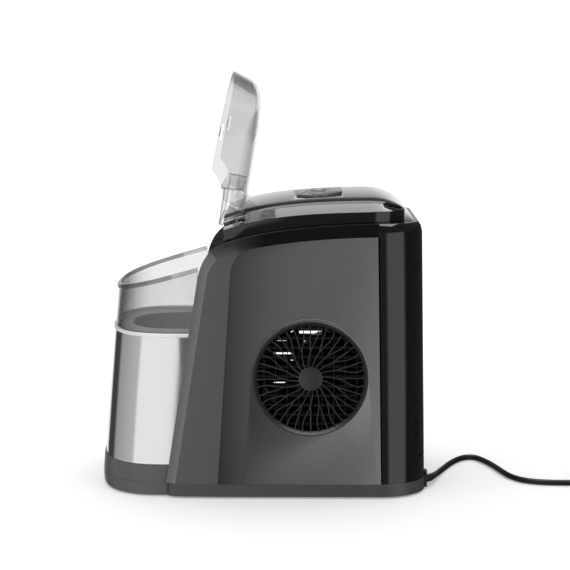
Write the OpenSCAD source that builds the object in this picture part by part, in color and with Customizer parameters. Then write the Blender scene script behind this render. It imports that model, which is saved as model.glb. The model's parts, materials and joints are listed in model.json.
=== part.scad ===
// Countertop ice maker with a see-through ice bin at the front, a tinted lid hinged on the top
// cover, a round fan outlet in one side and a compressor cooling circuit inside.
// Front is -Y, the fan side is +X, and the feet stand on z = 0. All sizes are in millimetres.

/* [Body] */
// Width of the housing over the two side panels
body_w = 242; // [232:2:256]
// Depth from the nose of the bin to the foot of the rear wall
body_d = 359.2; // [352:0.4:370]
// Height of the deck that carries the top cover
deck_z = 297.5; // [294:0.5:304]
// Height of the rubber feet
foot_h = 2; // [2:0.5:5]
// Radius of the rubber feet
foot_r = 9; // [7:0.5:12]
// Height of the base pan above the feet
pan_h = 14; // [11:0.5:15]
// Wall of the moulded shells
wall = 2.5; // [2:0.1:3]
// Radius of the rear corners, seen from above
rear_r = 50; // [42:1:54]
// How far the rear wall leans forwards at the deck
rear_lean = 5; // [3:0.5:7]
// Open seam between neighbouring panels
seam = 0.4; // [0.3:0.05:0.6]

/* [Front bin] */
// Distance from the side of the housing to the side of the bin
bin_side = 11.5; // [10:0.5:15]
// Backward lean of the bin, as run over rise
bin_lean = 0.085; // [0.08:0.005:0.11]
// Height of the plastic band under the steel
band_h = 19; // [16:0.5:22]
// Height of the steel wrap
steel_h = 139.5; // [134:0.5:148]
// Thickness of the steel wrap
steel_t = 1; // [0.8:0.1:1.4]
// Height of the bright ring over the steel
ring_h = 4; // [3.5:0.5:6]
// Wall of the clear window
window_t = 2.4; // [2:0.1:3]
// Height of the window's rim at the pillars
rim_z = 250; // [247:0.5:253]
// Rise of the rim towards the rear, as rise over run
rim_slope = 0.281; // [0.26:0.005:0.3]

/* [Pillars] */
// Distance from the bin's nose to the foot of the pillars
pillar_foot = 76.6; // [74:0.2:79]
// Width of the bright chamfer on a pillar
chamfer_w = 10.4; // [9:0.2:12]
// Distance from a pillar's front edge to the side panel, at the foot
pillar_w = 56.8; // [54:0.2:60]

/* [Top cover] */
// Distance from the side of the housing to the cover's side wall
cover_side = 10; // [9:0.5:12]
// Height of the cover's side wall at the front
cover_wall_h = 14; // [12:0.5:15]
// Width of the sloping shoulder
shoulder_w = 13; // [11:0.5:15]
// Height of the raised plate on the cover
plate_h = 4.6; // [3.5:0.1:5.5]

/* [Lid] */
// Angle between the closed and the open lid
lid_swing = 117; // [112:1:119]
// Wall of the lid
lid_t = 2.2; // [1.8:0.1:2.6]
// Radius of the hinge pins
pin_r = 2.5; // [2.2:0.1:2.8]
// Running clearance of the pins in their bores
pin_gap = 0.05; // [0.02:0.01:0.09]

/* [Fan] */
// Radius of the round outlet in the side panel
outlet_r = 62; // [59:0.5:64]
// Radius of the outlet's grille
grille_r = 57.5; // [54:0.5:58]
// Radius of the disc in the middle of the grille
hub_r = 12.9; // [11:0.1:15]
// Ribs that leave the hub, each of which forks once
ribs = 20; // [16:1:22]
// Radius of the fan's blades
blade_r = 50; // [44:0.5:52]

/* [Controls] */
// Length of the oval control pod, front to rear
pod_l = 52; // [46:1:56]
// Width of the oval control pod
pod_w = 96; // [84:2:110]
// Travel of a push button
button_travel = 1.2; // [0.8:0.1:1.5]

/* [Basket] */
// Half the width of the basket's mouth
basket_half = 63; // [56:1:68]
// Depth of the basket
basket_h = 74; // [60:1:78]
// Wall of the basket
basket_t = 2; // [1.6:0.1:2.4]

/* [Cooling] */
// Radius of the compressor's shell
comp_r = 52; // [46:1:54]
// Height of the compressor's shell
comp_h = 138; // [120:1:142]
// Rows of condenser tube
coil_rows = 11; // [9:1:11]
// Distance between rows of condenser tube
coil_pitch = 10.5; // [9.5:0.1:11]
// Outer radius of the condenser tube
coil_r = 3; // [2.5:0.1:3.5]

/* [Cord] */
// Radius of the mains cord
cord_r = 3.3; // [3:0.1:3.4]

/* [Hidden] */
$fn = 64;

front_y = -body_d / 2;
rear_y = body_d / 2;
half_w = body_w / 2;
bin_w = body_w - 2 * bin_side;
cover_w = body_w - 2 * cover_side;
seam_z = foot_h + pan_h;
band_z = seam_z + band_h;
steel_z = band_z + steel_h;
ring_z = steel_z + ring_h;
foot_y = front_y + pillar_foot;
band_out = 1;
// The bin's straight sides begin this far in front of the pillars.
nose_gap = 1;
nose = pillar_foot - nose_gap - band_out;

// A cubic curve through p0 and p3, steered by p1 and p2, as n spans.
function curve(p0, p1, p2, p3, n) = [
    for (i = [0:n]) let (t = i / n, s = 1 - t)
    s * s * s * p0 + 3 * s * s * t * p1 + 3 * s * t * t * p2 + t * t * t * p3
];
function line(p0, p1, n) = [for (i = [0:n]) p0 + (p1 - p0) * i / n];
function tail(list) = [for (i = [1:len(list) - 1]) list[i]];
function backwards(list) = [for (i = [len(list) - 1:-1:0]) list[i]];
function mirror_x(list) = [for (p = list) [-p[0], p[1]]];

// A solid skin over rings that all have the same number of points. The rings may run either way
// round: the sign of the enclosed volume decides which way the faces turn.
function total(v) = v * [for (x = v) 1];
function enclosed(rings) = let (n = len(rings[0]), c = rings[0][0]) total([
    for (j = [0:len(rings) - 2]) for (i = [0:n - 1]) let (
        a = rings[j][i] - c, b = rings[j][(i + 1) % n] - c,
        d = rings[j + 1][i] - c, e = rings[j + 1][(i + 1) % n] - c
    )
    a * cross(b, e) + a * cross(e, d)
]);
module loft(rings) {
    n = len(rings[0]);
    m = len(rings);
    flip = enclosed(rings) > 0;
    points = [for (ring = rings) for (i = [0:n - 1]) ring[flip ? n - 1 - i : i]];
    // Each cap is folded about its middle point, so an open strip closes as well as a disc.
    cap = [
        for (i = [0:floor((n - 1) / 2) - 1]) i + 1 == n - 2 - i ? [i, i + 1, n - 1 - i]
            : [i, i + 1, n - 2 - i, n - 1 - i]
    ];
    first_cap = [for (f = cap) backwards(f)];
    last_cap = [for (f = cap) [for (i = f) (m - 1) * n + i]];
    sides = [
        for (j = [0:m - 2]) for (i = [0:n - 1]) let (a = j * n + i, b = j * n + (i + 1) % n)
        each [[a, b, b + n], [a, b + n, a + n]]
    ];
    polyhedron(points = points, faces = concat(first_cap, sides, last_cap), convexity = 8);
}

// A round tube swept along a path of points; the frame of each ring is carried from the last.
function unit(v) = v / norm(v);
function heading(path, i) = unit(path[min(i + 1, len(path) - 1)] - path[max(i - 1, 0)]);
function side_of(h, last) = unit(last - (last * h) * h);
function sides_of(path, i, last) = i >= len(path) ? []
    : let (s = side_of(heading(path, i), last)) concat([s], sides_of(path, i + 1, s));
function first_side(path) = abs(heading(path, 0)[2]) < 0.9 ? [0, 0, 1] : [1, 0, 0];
module tube(path, r, sides) {
    across = sides_of(path, 0, first_side(path));
    loft([
        for (i = [0:len(path) - 1]) let (h = heading(path, i), u = across[i], v = cross(h, u))
        [for (k = [0:sides - 1]) let (a = 360 * k / sides) path[i] + r * (cos(a) * u + sin(a) * v)]
    ]);
}

// A smooth line through a list of points, n spans between neighbours.
function through(p, n) = concat(
    [p[0]],
    [
        for (i = [0:len(p) - 2]) for (k = [1:n]) let (
            t = k / n,
            before = p[max(i - 1, 0)],
            after = p[min(i + 2, len(p) - 1)]
        )
        0.5 * (2 * p[i] + (p[i + 1] - before) * t
            + (2 * before - 5 * p[i] + 4 * p[i + 1] - after) * t * t
            + (3 * p[i] - before - 3 * p[i + 1] + after) * t * t * t)
    ]
);

// ---------------------------------------------------------------- outlines shared by the shells

// The bin seen from above: a rounded nose and straight sides that run back to y_back.
nose_power = 2 / 2.6;
nose_steps = 36;
function bin_y(z) = foot_y - nose_gap + bin_lean * (z - seam_z);
function signed_power(v, e) = sign(v) * pow(abs(v), e);
function bin_line(inset, z, y_back) = let (
    b = bin_w / 2 - inset,
    a = nose - inset,
    y = bin_y(z)
) concat(
    [[b, y_back]],
    [
        for (i = [0:nose_steps]) let (t = 180 * i / nose_steps)
        [b * signed_power(cos(t), nose_power), y - a * pow(sin(t), nose_power)]
    ],
    [[-b, y_back]]
);
function at_z(list, z) = [for (p = list) [p[0], p[1], z]];
function bin_ring(out, in, z, y_back) =
    at_z(concat(backwards(bin_line(out, z, y_back)), bin_line(in, z, y_back)), z);

// The wall of the bin between two heights, open at the rear.
module bin_wall(out, in, z0, z1, y_back) {
    loft([bin_ring(out, in, z0, y_back), bin_ring(out, in, z1, y_back)]);
}

// The arch of a side frame, seen from the side: its front and upper edge from foot to rear.
pillar_lean = 35;
pillar_top = [foot_y + pillar_lean, deck_z - 61.5];
arch_end = [foot_y + 65, deck_z - 20.5];
deck_end = [rear_y - 53.2, deck_z];
arch_spans = 8;
deck_spans = 10;
function arch(foot, top, swing1, swing2, end, lift1, lift2, rear) = concat(
    line(foot, top, 1),
    tail(curve(top, top + swing1, end - swing2, end, arch_spans)),
    tail(curve(end, end + lift1, rear - lift2, rear, deck_spans))
);
front_edge = arch([foot_y, seam_z], pillar_top, [3.8, 24], [15, 4.5], arch_end, [36, 12], [70, 1.2],
    deck_end);
chamfer_foot = foot_y + chamfer_w;
chamfer_edge = arch([chamfer_foot, seam_z], pillar_top + [chamfer_w + 0.3, 4], [3, 17], [11, 2.5],
    arch_end + [chamfer_w - 1.5, -9.3], [30, 9], [70, 1.2], deck_end + [0, -12]);
crease_foot = foot_y + pillar_w;
crease_top = [foot_y + 71.2, deck_z - 49];
crease_edge = arch([crease_foot, seam_z], crease_top, [1.2, 10], [9, 2.6],
    arch_end + [27, -5.6], [24, 5], [70, 1.2], deck_end + [0, -13.4]);

// The top of the cover, seen from the side: the upper edge of its shoulder.
cover_front = foot_y + 63.5;
cover_rear = rear_y - 24;
cover_r = 40;
shoulder_drop = 8.6;
cover_front_z = deck_z - 21 + cover_wall_h + shoulder_drop;
cover_top_z = deck_z + 20.8;
cover_rear_z = deck_z + cover_wall_h - 1;
cover_spans = 14;
cover_crest = cover_rear - 36.5;
cover_edge = concat(
    curve([cover_front, cover_front_z], [cover_front + 40, cover_front_z + 15],
        [cover_crest - 63, cover_top_z - 0.6], [cover_crest, cover_top_z], cover_spans),
    tail(curve([cover_crest, cover_top_z], [cover_crest + 11, cover_top_z],
        [cover_rear - 12, cover_rear_z + 5], [cover_rear, cover_rear_z], 8))
);
function edge_z(y) = lookup(y, cover_edge);
// The shoulder fades out towards the rear, where the side wall runs on round the corners.
fade_len = 55;
function fade(y, power) = 1 - pow(max(0, 1 - (cover_rear - y) / fade_len), power);
// Stations along the cover, each with half the width there.
function cover_stations(inset) = concat(
    [for (i = [0:10]) [cover_front + (cover_rear - cover_r - cover_front) * i / 10, cover_w / 2 - inset]],
    [
        for (a = [10:10:90])
        [
            cover_rear - cover_r + (cover_r - inset) * sin(a),
            cover_w / 2 - cover_r + (cover_r - inset) * cos(a)
        ]
    ]
);

// The closed lid's top edge, from the hinge end to the nose, as an extension of the cover.
hinge_y = foot_y + 76.5;
hinge_z = deck_z + 1.7;
lid_rear = cover_front - 2;
lid_nose_y = front_y + 14.6;
lid_nose_z = deck_z - 57;
lid_edge = concat(
    curve([lid_nose_y, lid_nose_z], [lid_nose_y + 1, lid_nose_z + 15],
        [lid_nose_y + 12, lid_nose_z + 21], [lid_nose_y + 28, lid_nose_z + 27.5], 8),
    tail(curve([lid_nose_y + 28, lid_nose_z + 27.5], [lid_nose_y + 60, lid_nose_z + 41],
        [lid_rear - 30, cover_front_z - 9], [lid_rear, cover_front_z + 1.2], 10))
);

// ---------------------------------------------------------------- base

pan_front = foot_y + 3;
module rear_plan(inset) {
    r = rear_r - inset;
    // The front corners carry the pillars' chamfers on down to the floor.
    front = [
        [half_w - 6.5 - inset, pan_front + inset],
        [half_w - 2.5 - inset, chamfer_foot],
        [half_w - inset, crease_foot]
    ];
    hull() {
        for (side = [-1, 1]) translate([side * (half_w - rear_r), rear_y - rear_r]) circle(r, $fn = 96);
        polygon(concat(front, mirror_x(backwards(front))));
    }
}

comp_x = -half_w + 79;
comp_y = rear_y - 84;
foot_inset_x = 26;
foot_front_y = foot_y + 30;
foot_rear_y = rear_y - 46;
feet = [for (x = [-1, 1]) for (y = [foot_front_y, foot_rear_y]) [x * (half_w - foot_inset_x), y]];
bolt_at = [for (x = [-1, 1]) for (y = [-1, 1]) [comp_x + x * 44, comp_y + y * 44]];
bolt_r = 2.5;
pan_floor = wall;
grommet_h = 10;

module base_pan() {
    color([0.2, 0.2, 0.21]) difference() {
        translate([0, 0, foot_h]) linear_extrude(pan_h) rear_plan(0);
        translate([0, 0, foot_h + pan_floor]) linear_extrude(pan_h) rear_plan(wall + 0.5);
        for (p = feet) translate([p[0], p[1], 0]) cylinder(r = screw_r + 0.2, h = pan_h, $fn = 24);
        for (p = bolt_at) translate([p[0], p[1], 0]) cylinder(r = bolt_r + 0.1, h = pan_h, $fn = 24);
    }
}

module front_plinth() {
    rings = [
        for (s = [[2.6, -0.08], [1, 0], [0.3, 0.14], [0, 1]]) let (z = foot_h + s[1] * pan_h)
        at_z(bin_line(s[0] - band_out, seam_z, pan_front - seam), z)
    ];
    color([0.22, 0.22, 0.23]) difference() {
        loft(rings);
        translate([0, 0, foot_h + wall]) loft([
            at_z(bin_line(12, seam_z, pan_front - wall - seam), 0),
            at_z(bin_line(6, seam_z, pan_front - wall - seam), pan_h)
        ]);
    }
}

module front_band() {
    color([0.3, 0.3, 0.31]) bin_wall(-band_out, 1.4, seam_z, band_z, foot_y + 14);
}

module steel_wrap() {
    color([0.82, 0.82, 0.83]) bin_wall(0, steel_t, band_z, steel_z, foot_y + 26);
}

ring_back = foot_y + 31;
module trim_ring() {
    color([0.93, 0.93, 0.93]) bin_wall(-1.5, 3.5, steel_z, ring_z, ring_back);
}

// ---------------------------------------------------------------- bin

window_back = pillar_top[0] + 0.5;
lip = 2;
function rim_ring(out, in, drop) = [
    for (p = concat(backwards(bin_line(out, rim_z, window_back)), bin_line(in, rim_z, window_back)))
    [p[0], p[1] - bin_lean * rim_fall(p[1]), rim_z - rim_fall(p[1]) - drop]
];
// How far the rim has fallen below rim_z at a point whose plan position is taken at rim_z.
function rim_fall(y) = rim_slope * (window_back - y) / (1 - rim_slope * bin_lean);

module bin_window() {
    color([0.6, 0.6, 0.62, 0.5]) loft([
        bin_ring(0.6, 0.6 + window_t, ring_z, window_back),
        rim_ring(0.6, 0.6 + window_t, 4.6),
        rim_ring(0.6 - lip, 0.6 + window_t, 3.8),
        rim_ring(0.6 - lip, 0.6 + window_t, 0.8),
        rim_ring(0.8 - lip / 2, 0.6 + window_t, 0)
    ]);
}

tub_back = foot_y + 59;
tub_floor_z = band_z + 18;
tub_in = 11;
tub_taper = 0.05;
flange_t = 2.5;
function tub_inset(z) = tub_in + (steel_z - z) * tub_taper;
module tub_solid(extra, z0, z1) {
    loft([
        for (z = [z0, z1])
        at_z(backwards(bin_line(tub_inset(z) + extra, z, tub_back - extra)), z)
    ]);
}
module bin_tub() {
    color([0.3, 0.3, 0.31]) difference() {
        union() {
            tub_solid(0, tub_floor_z, steel_z - flange_t);
            loft([
                for (z = [steel_z - flange_t, steel_z])
                at_z(backwards(bin_line(steel_t + 0.3, z, tub_back)), z)
            ]);
        }
        tub_solid(wall, tub_floor_z + wall, steel_z + 1);
        along_drain() translate([0, 0, drain_in - 12]) cylinder(r = spout_bore, h = 20, $fn = 48);
    }
}

module tub_insulation() {
    color([0.9, 0.88, 0.8]) loft([
        for (z = [band_z, steel_z - flange_t])
        bin_ring(steel_t + 0.3, tub_inset(z) - 0.3, z, foot_y + 26)
    ]);
}

basket_back = tub_back - 9;
basket_nose = 56;
basket_z = steel_z + 0.2;
basket_flange = 2.3;
basket_gap = 7.5;
basket_y = bin_y(steel_z) + 1;
basket_taper = 5;
function basket_line(inset) = concat(
    [[basket_half - inset, basket_back - inset]],
    [
        for (i = [0:24]) let (t = 180 * i / 24)
        [
            (basket_half - inset) * signed_power(cos(t), nose_power),
            basket_y - (basket_nose - inset) * pow(sin(t), nose_power)
        ]
    ],
    [[-basket_half + inset, basket_back - inset]]
);
slots_x = 7;
slots_y = 3;
slot_w = 5;
module ice_basket() {
    floor_z = basket_z + basket_flange - basket_h;
    top = basket_z + basket_flange;
    color([0.42, 0.42, 0.44]) difference() {
        union() {
            loft([
                at_z(backwards(basket_line(basket_taper - basket_t)), floor_z),
                at_z(backwards(basket_line(-basket_t)), top)
            ]);
            loft([
                for (z = [basket_z, top])
                at_z(backwards(bin_line(basket_gap, steel_z, tub_back - wall - 1)), z)
            ]);
        }
        loft([
            at_z(backwards(basket_line(basket_taper)), floor_z + basket_t),
            at_z(backwards(basket_line(0)), top + 0.01)
        ]);
        for (i = [0:slots_x - 1]) for (j = [0:slots_y - 1])
            translate([(i - (slots_x - 1) / 2) * 14 - slot_w / 2, basket_y - 30 + j * 24, floor_z - 1])
                cube([slot_w, 16, basket_t + 2]);
    }
}

// ---------------------------------------------------------------- housing shells

// Widths of the frame at its front edge, chamfer and crease, for a point along the arch.
function frame_x(i) = let (t = max(0, min(1, (i - 1) / arch_spans)))
    [half_w - 8 + 5 * t, half_w - 2.5 + 2.2 * t, half_w];
lip_t = 1.2;
module side_frame() {
    loft([
        for (i = [0:len(front_edge) - 1]) let (
            x = frame_x(i), f = front_edge[i], c = chamfer_edge[i], k = crease_edge[i], w = wall
        )
        [
            [x[0], f[0], f[1]], [x[1], c[0], c[1]], [x[2], k[0], k[1]],
            [x[2] - w, k[0], k[1]], [x[1] - w, c[0], c[1]], [x[0] - lip_t, f[0], f[1]]
        ]
    ]);
}
frame_color = [0.16, 0.16, 0.17];
module right_frame() {
    color(frame_color) side_frame();
}
module left_frame() {
    color(frame_color) difference() {
        mirror([1, 0, 0]) side_frame();
        along_drain() translate([0, 0, half_w - 20]) cylinder(r = spout_r + 0.3, h = 40, $fn = 48);
    }
}

panel_t = 2;
panel_rear_foot = rear_y - 48.4;
panel_rear_top = rear_y - 52.6;
panel_line = concat(
    [for (p = crease_edge) p[1] < crease_top[1] ? p + [seam, 0] : p + [seam / 2, -seam]],
    [[panel_rear_foot, seam_z]]
);
panel_outline = concat(
    [for (p = panel_line) if (p[0] < panel_rear_top) p],
    [[panel_rear_top, deck_z - 14.2], [panel_rear_foot, seam_z]]
);
fan_y = (crease_top[0] + panel_rear_foot) / 2 + 3.7;
fan_z = seam_z + 115.4;
boss_t = 0.7;
boss_r = outlet_r + 3;
module side_plate() {
    translate([half_w - panel_t, 0, 0]) rotate([90, 0, 90]) linear_extrude(panel_t)
        polygon(panel_outline);
}
// The slightly raised arch round the outlet, with legs that spread towards the base.
module outlet_boss() {
    translate([half_w, 0, 0]) rotate([90, 0, 90]) linear_extrude(boss_t) union() {
        translate([fan_y, fan_z]) circle(boss_r, $fn = 96);
        polygon([
            [fan_y - boss_r, fan_z], [fan_y + boss_r, fan_z],
            [fan_y + boss_r + 6, seam_z], [fan_y - boss_r - 6, seam_z]
        ]);
    }
}
panel_color = [0.33, 0.33, 0.34];
module right_side_panel() {
    color(panel_color) difference() {
        union() {
            side_plate();
            outlet_boss();
        }
        translate([half_w - panel_t - 1, fan_y, fan_z]) rotate([0, 90, 0])
            cylinder(r = outlet_r, h = panel_t + boss_t + 2, $fn = 128);
    }
}
intake_rows = 12;
intake_pitch = 9;
intake_w = 84;
intake_slot = 4;
module left_side_panel() {
    color(panel_color) difference() {
        mirror([1, 0, 0]) side_plate();
        for (i = [0:intake_rows - 1]) let (z = fan_z + (i - (intake_rows - 1) / 2) * intake_pitch)
            translate([-half_w - 1, fan_y - intake_w / 2, z - intake_slot / 2])
                cube([panel_t + 2, intake_w, intake_slot]);
    }
}

// The rear cover wraps both rear corners and leans forwards towards the deck.
function lean_at(z) = rear_lean * (z - seam_z) / (deck_z - seam_z);
function corner(inset, lean, n) = [
    for (i = [0:n]) let (a = 90 * i / n)
    [half_w - rear_r + (rear_r - inset) * cos(a), rear_y - lean - rear_r + (rear_r - inset) * sin(a)]
];
function rear_line(inset, z, y_front) = let (c = corner(inset, lean_at(z), 14))
    concat([[half_w - inset, y_front]], c, mirror_x(backwards(c)), [[-half_w + inset, y_front]]);
function rear_ring(out, z, y_front) =
    at_z(concat(rear_line(out, z, y_front), backwards(rear_line(out + wall, z, y_front))), z);
function cover_front_at(z) = seam + panel_rear_foot
    + (panel_rear_top - panel_rear_foot) * (z - seam_z) / (deck_z - 14.2 - seam_z);
grille_w = body_w - 114;
grille_z0 = seam_z + 14;
grille_z1 = seam_z + 152;
rear_screw_at = [for (x = [-1, 1]) for (z = [seam_z + 7, deck_z - 34]) [x * 40, z]];
module rear_cover() {
    color([0.05, 0.05, 0.055]) difference() {
        loft([
            rear_ring(0, seam_z, cover_front_at(seam_z)),
            rear_ring(0, deck_z - 11, cover_front_at(deck_z - 11)),
            rear_ring(1.6, deck_z - 4, cover_front_at(deck_z - 11)),
            rear_ring(4.5, deck_z, cover_front_at(deck_z - 11))
        ]);
        translate([-grille_w / 2, rear_y - 20, grille_z0]) cube([grille_w, 40, grille_z1 - grille_z0]);
        for (p = rear_screw_at) translate([p[0], rear_y - 30, p[1]]) rotate([-90, 0, 0])
            cylinder(r = screw_r + 0.1, h = 60, $fn = 24);
    }
}

louvre_pitch = 6.5;
louvre_t = 2;
louvre_edge = 4;
louvre_side = 8;
grille_gap = 0.3;
grille_t = 3;
louvres = floor((grille_z1 - grille_z0 - louvre_edge) / louvre_pitch);
module rear_grille() {
    y0 = rear_y - rear_lean - wall - 3 * grille_gap;
    louvre_w = grille_w - 2 * louvre_side;
    color([0.08, 0.08, 0.085]) {
        difference() {
            translate([-grille_w / 2 + grille_gap, y0, grille_z0 + grille_gap])
                cube([grille_w - 2 * grille_gap, grille_t, grille_z1 - grille_z0 - 2 * grille_gap]);
            for (i = [0:louvres - 1])
                translate([-louvre_w / 2, y0 - 1, grille_z0 + louvre_edge + i * louvre_pitch])
                    cube([louvre_w, grille_t + 2, louvre_pitch - louvre_t]);
        }
        // Each louvre reaches out to the leaning face of the rear cover.
        for (i = [0:louvres]) let (
            z = grille_z0 + louvre_edge - louvre_t + i * louvre_pitch,
            out = rear_y - lean_at(z) - y0 - grille_t + grille_gap
        )
        translate([-louvre_w / 2, y0 + grille_t, z]) rotate([0, 90, 0]) linear_extrude(louvre_w)
            polygon([[0, 0], [0, out], [0.6 * -louvre_t, out], [-louvre_t, 0]]);
    }
}

// The deck closes the housing under the cover and follows the arch.
chamber_front = arch_end[0];
chamber_len = 98;
chamber_y = chamber_front + 4;
chamber_rear = chamber_front + chamber_len;
chamber_half = 88;
deck_t = 2;
module deck_plate() {
    deck_top = [for (p = front_edge) if (p[0] >= arch_end[0] - 0.01) p];
    outline = concat(deck_top, [[rear_y, deck_z], [rear_y, deck_z - deck_t]],
        [for (p = backwards(deck_top)) p - [0, deck_t]]);
    color([0.07, 0.07, 0.075]) difference() {
        intersection() {
            translate([-half_w + 8.2, 0, 0]) rotate([90, 0, 90]) linear_extrude(body_w - 16.4)
                polygon(outline);
            translate([0, 0, deck_z - 60]) linear_extrude(80) intersection() {
                translate([0, -rear_lean]) rear_plan(wall + 5);
                square([body_w - 16.4, 2 * body_d], center = true);
            }
        }
        translate([-chamber_half - 0.3, arch_end[0] - 10, deck_z - 60])
            cube([2 * chamber_half + 0.6, chamber_len + 10.3, 80]);
        translate([-arm_in, arch_end[0] - 10, deck_z - 60]) cube([2 * arm_in, 34, 80]);
    }
}

// ---------------------------------------------------------------- top cover

// A solid roof whose shoulder follows an edge curve; used for the cover and for the lid.
module roof(edge, width, extra, depth) {
    half = width / 2 - extra;
    loft([
        for (p = edge) let (z = p[1] - extra)
        [
            [half, p[0], z - depth], [half, p[0], z - shoulder_drop], [half - shoulder_w, p[0], z],
            [-half + shoulder_w, p[0], z], [-half, p[0], z - shoulder_drop], [-half, p[0], z - depth]
        ]
    ]);
}
module cover_solid(inset) {
    loft([
        for (s = cover_stations(inset)) let (
            z = edge_z(s[0]) - inset, drop = 0.1 + (shoulder_drop - 0.1) * fade(s[0], 3)
        )
        [
            [s[1], s[0], z - 60], [s[1], s[0], z - drop], [s[1] - shoulder_w, s[0], z],
            [-s[1] + shoulder_w, s[0], z], [-s[1], s[0], z - drop], [-s[1], s[0], z - 60]
        ]
    ]);
}
// Everything above the deck, to stand the cover on it.
module above_deck(gap) {
    deck_top = [for (p = front_edge) if (p[0] >= arch_end[0] - 0.01) p + [0, gap]];
    translate([-body_w, 0, 0]) rotate([90, 0, 90]) linear_extrude(2 * body_w)
        polygon(concat([[deck_top[0][0] - 60, deck_top[0][1] - 20]], deck_top,
            [[rear_y + 20, deck_z + gap], [rear_y + 20, deck_z + 90], [deck_top[0][0] - 60, deck_z + 90]]));
}
arm_in = cover_w / 2 - 9.4;
arm_t = 4;
arm_gap = 0.6;
arm_sweep = 9;
bearing_w = 6;
// A piece drawn in the Y-Z plane about the lid's hinge and run along X from x0 over w.
module at_hinge(x0, w) {
    translate([x0, hinge_y, hinge_z]) rotate([90, 0, 90]) linear_extrude(w) children();
}
// Slots in the cover's shoulders, where the lid's two arms swing.
module arm_slots() {
    front = cover_front - hinge_y - 2;
    for (s = [0, 1]) mirror([s, 0, 0]) at_hinge(arm_in - arm_gap, arm_t + 2 * arm_gap) union() {
        circle(arm_sweep, $fn = 48);
        polygon([[arm_sweep, 0], [arm_sweep, 20], [front, 20], [front, -17], [-2, -arm_sweep]]);
    }
}
// Bearing bosses for the lid's pins, inside the cover.
module bearings() {
    for (s = [0, 1]) mirror([s, 0, 0]) at_hinge(arm_in - arm_gap - bearing_w, bearing_w)
        translate([-6.5, -18]) square([13, 30]);
}
module bearing_bores() {
    for (s = [0, 1]) mirror([s, 0, 0])
        translate([arm_in - arm_gap - bearing_w - 1, hinge_y, hinge_z]) rotate([0, 90, 0])
            cylinder(r = pin_r + pin_gap, h = bearing_w + 2, $fn = 48);
}
module top_cover() {
    color([0.04, 0.04, 0.045]) difference() {
        union() {
            difference() {
                intersection() {
                    cover_solid(0);
                    above_deck(0);
                }
                translate([0, -1, 0]) cover_solid(wall);
            }
            intersection() {
                cover_solid(0.2);
                bearings();
            }
        }
        arm_slots();
        bearing_bores();
        pod_cut(-8);
    }
}

plate_half = cover_w / 2 - shoulder_w - 0.6;
plate_bend = cover_rear - 40;
plate_end = cover_rear - 1.5;
function plate_half_at(y) = let (u = max(0, (y - plate_bend) / (plate_end - plate_bend)))
    plate_half - 28 * (1 - sqrt(1 - u * u));
module top_plate() {
    n = 20;
    color([0.06, 0.06, 0.065]) difference() {
        loft([
            for (i = [0:n]) let (
                y = cover_front + (plate_end - cover_front) * (1 - pow(1 - i / n, 1.6)),
                z = edge_z(y) + 0.1,
                h = plate_h * fade(y, 4) + 0.1,
                half = plate_half_at(y)
            )
            [
                [half, y, z], [half - 2, y, z + h * 0.5], [half - 12, y, z + h * 0.88],
                [half - 25, y, z + h], [-half + 25, y, z + h], [-half + 12, y, z + h * 0.88],
                [-half + 2, y, z + h * 0.5], [-half, y, z]
            ]
        ]);
        pod_cut(0.5);
    }
}

// ---------------------------------------------------------------- controls

pod_y = rear_y - 116;
pod_tilt = 4.4;
pod_z = deck_z + 21.4;
pod_h = 3.9;
button_x = 24;
button_r = 8.5;
stem_r = 3;
pod_floor = 1.2;
cap_z = pod_floor + button_travel + 0.3;
board_z = -9;
board_t = 1.6;
switch_h = 3;
switch_w = 6;
board_w = 96;
board_l = 52;
lamp_gap = 11;
module on_pod() {
    translate([0, pod_y, pod_z]) rotate([pod_tilt, 0, 0]) children();
}
function oval(length, width) = [for (a = [0:7.5:352.5]) [width / 2 * cos(a), length / 2 * sin(a)]];
module pod_cut(gap) {
    on_pod() translate([0, 0, -20]) linear_extrude(60) polygon(oval(pod_l + 2 * gap, pod_w + 2 * gap));
}
module control_pod() {
    color([0.35, 0.35, 0.36]) on_pod() difference() {
        linear_extrude(pod_h, convexity = 4) polygon(oval(pod_l, pod_w));
        for (s = [-1, 1]) translate([s * button_x, 0, 0]) {
            translate([0, 0, pod_floor]) cylinder(r = button_r + 0.3, h = pod_h, $fn = 48);
            translate([0, 0, -1]) cylinder(r = stem_r + 0.3, h = pod_h, $fn = 32);
        }
        for (i = [-1:1]) translate([0, i * lamp_gap, pod_h - 2]) cylinder(r = 2.1, h = 5, $fn = 24);
    }
}
module button(side) {
    stem_end = board_z + switch_h + button_travel + 0.4;
    on_pod() translate([side * button_x, 0, 0]) {
        translate([0, 0, cap_z]) cylinder(r = button_r, h = pod_h + 0.5 - cap_z, $fn = 48);
        translate([0, 0, stem_end]) cylinder(r = stem_r, h = cap_z - stem_end, $fn = 32);
    }
}
module power_button() {
    color([0.5, 0.5, 0.52]) button(-1);
}
module select_button() {
    color([0.5, 0.5, 0.52]) button(1);
}
module indicator_lenses() {
    color([0.8, 0.9, 0.8]) on_pod() for (i = [-1:1])
        translate([0, i * lamp_gap, pod_h - 2]) cylinder(r = 2, h = 2.1, $fn = 24);
}
module control_board() {
    color([0.1, 0.35, 0.2]) on_pod() {
        translate([-board_w / 2, -board_l / 2, board_z - board_t]) cube([board_w, board_l, board_t]);
        for (s = [-1, 1]) translate([s * button_x - switch_w / 2, -switch_w / 2, board_z])
            cube([switch_w, switch_w, switch_h]);
        translate([-13, -10, board_z - board_t - 4]) cube([26, 20, 4]);
        // Posts at the corners, which reach up to the cover.
        for (x = [-1, 1]) for (y = [-1, 1])
            translate([x * (board_w / 2 - 4), y * (board_l / 2 - 5), board_z])
                cylinder(r = 2.5, h = 3.1, $fn = 24);
    }
}

// ---------------------------------------------------------------- lid, drawn closed, shown open

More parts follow.
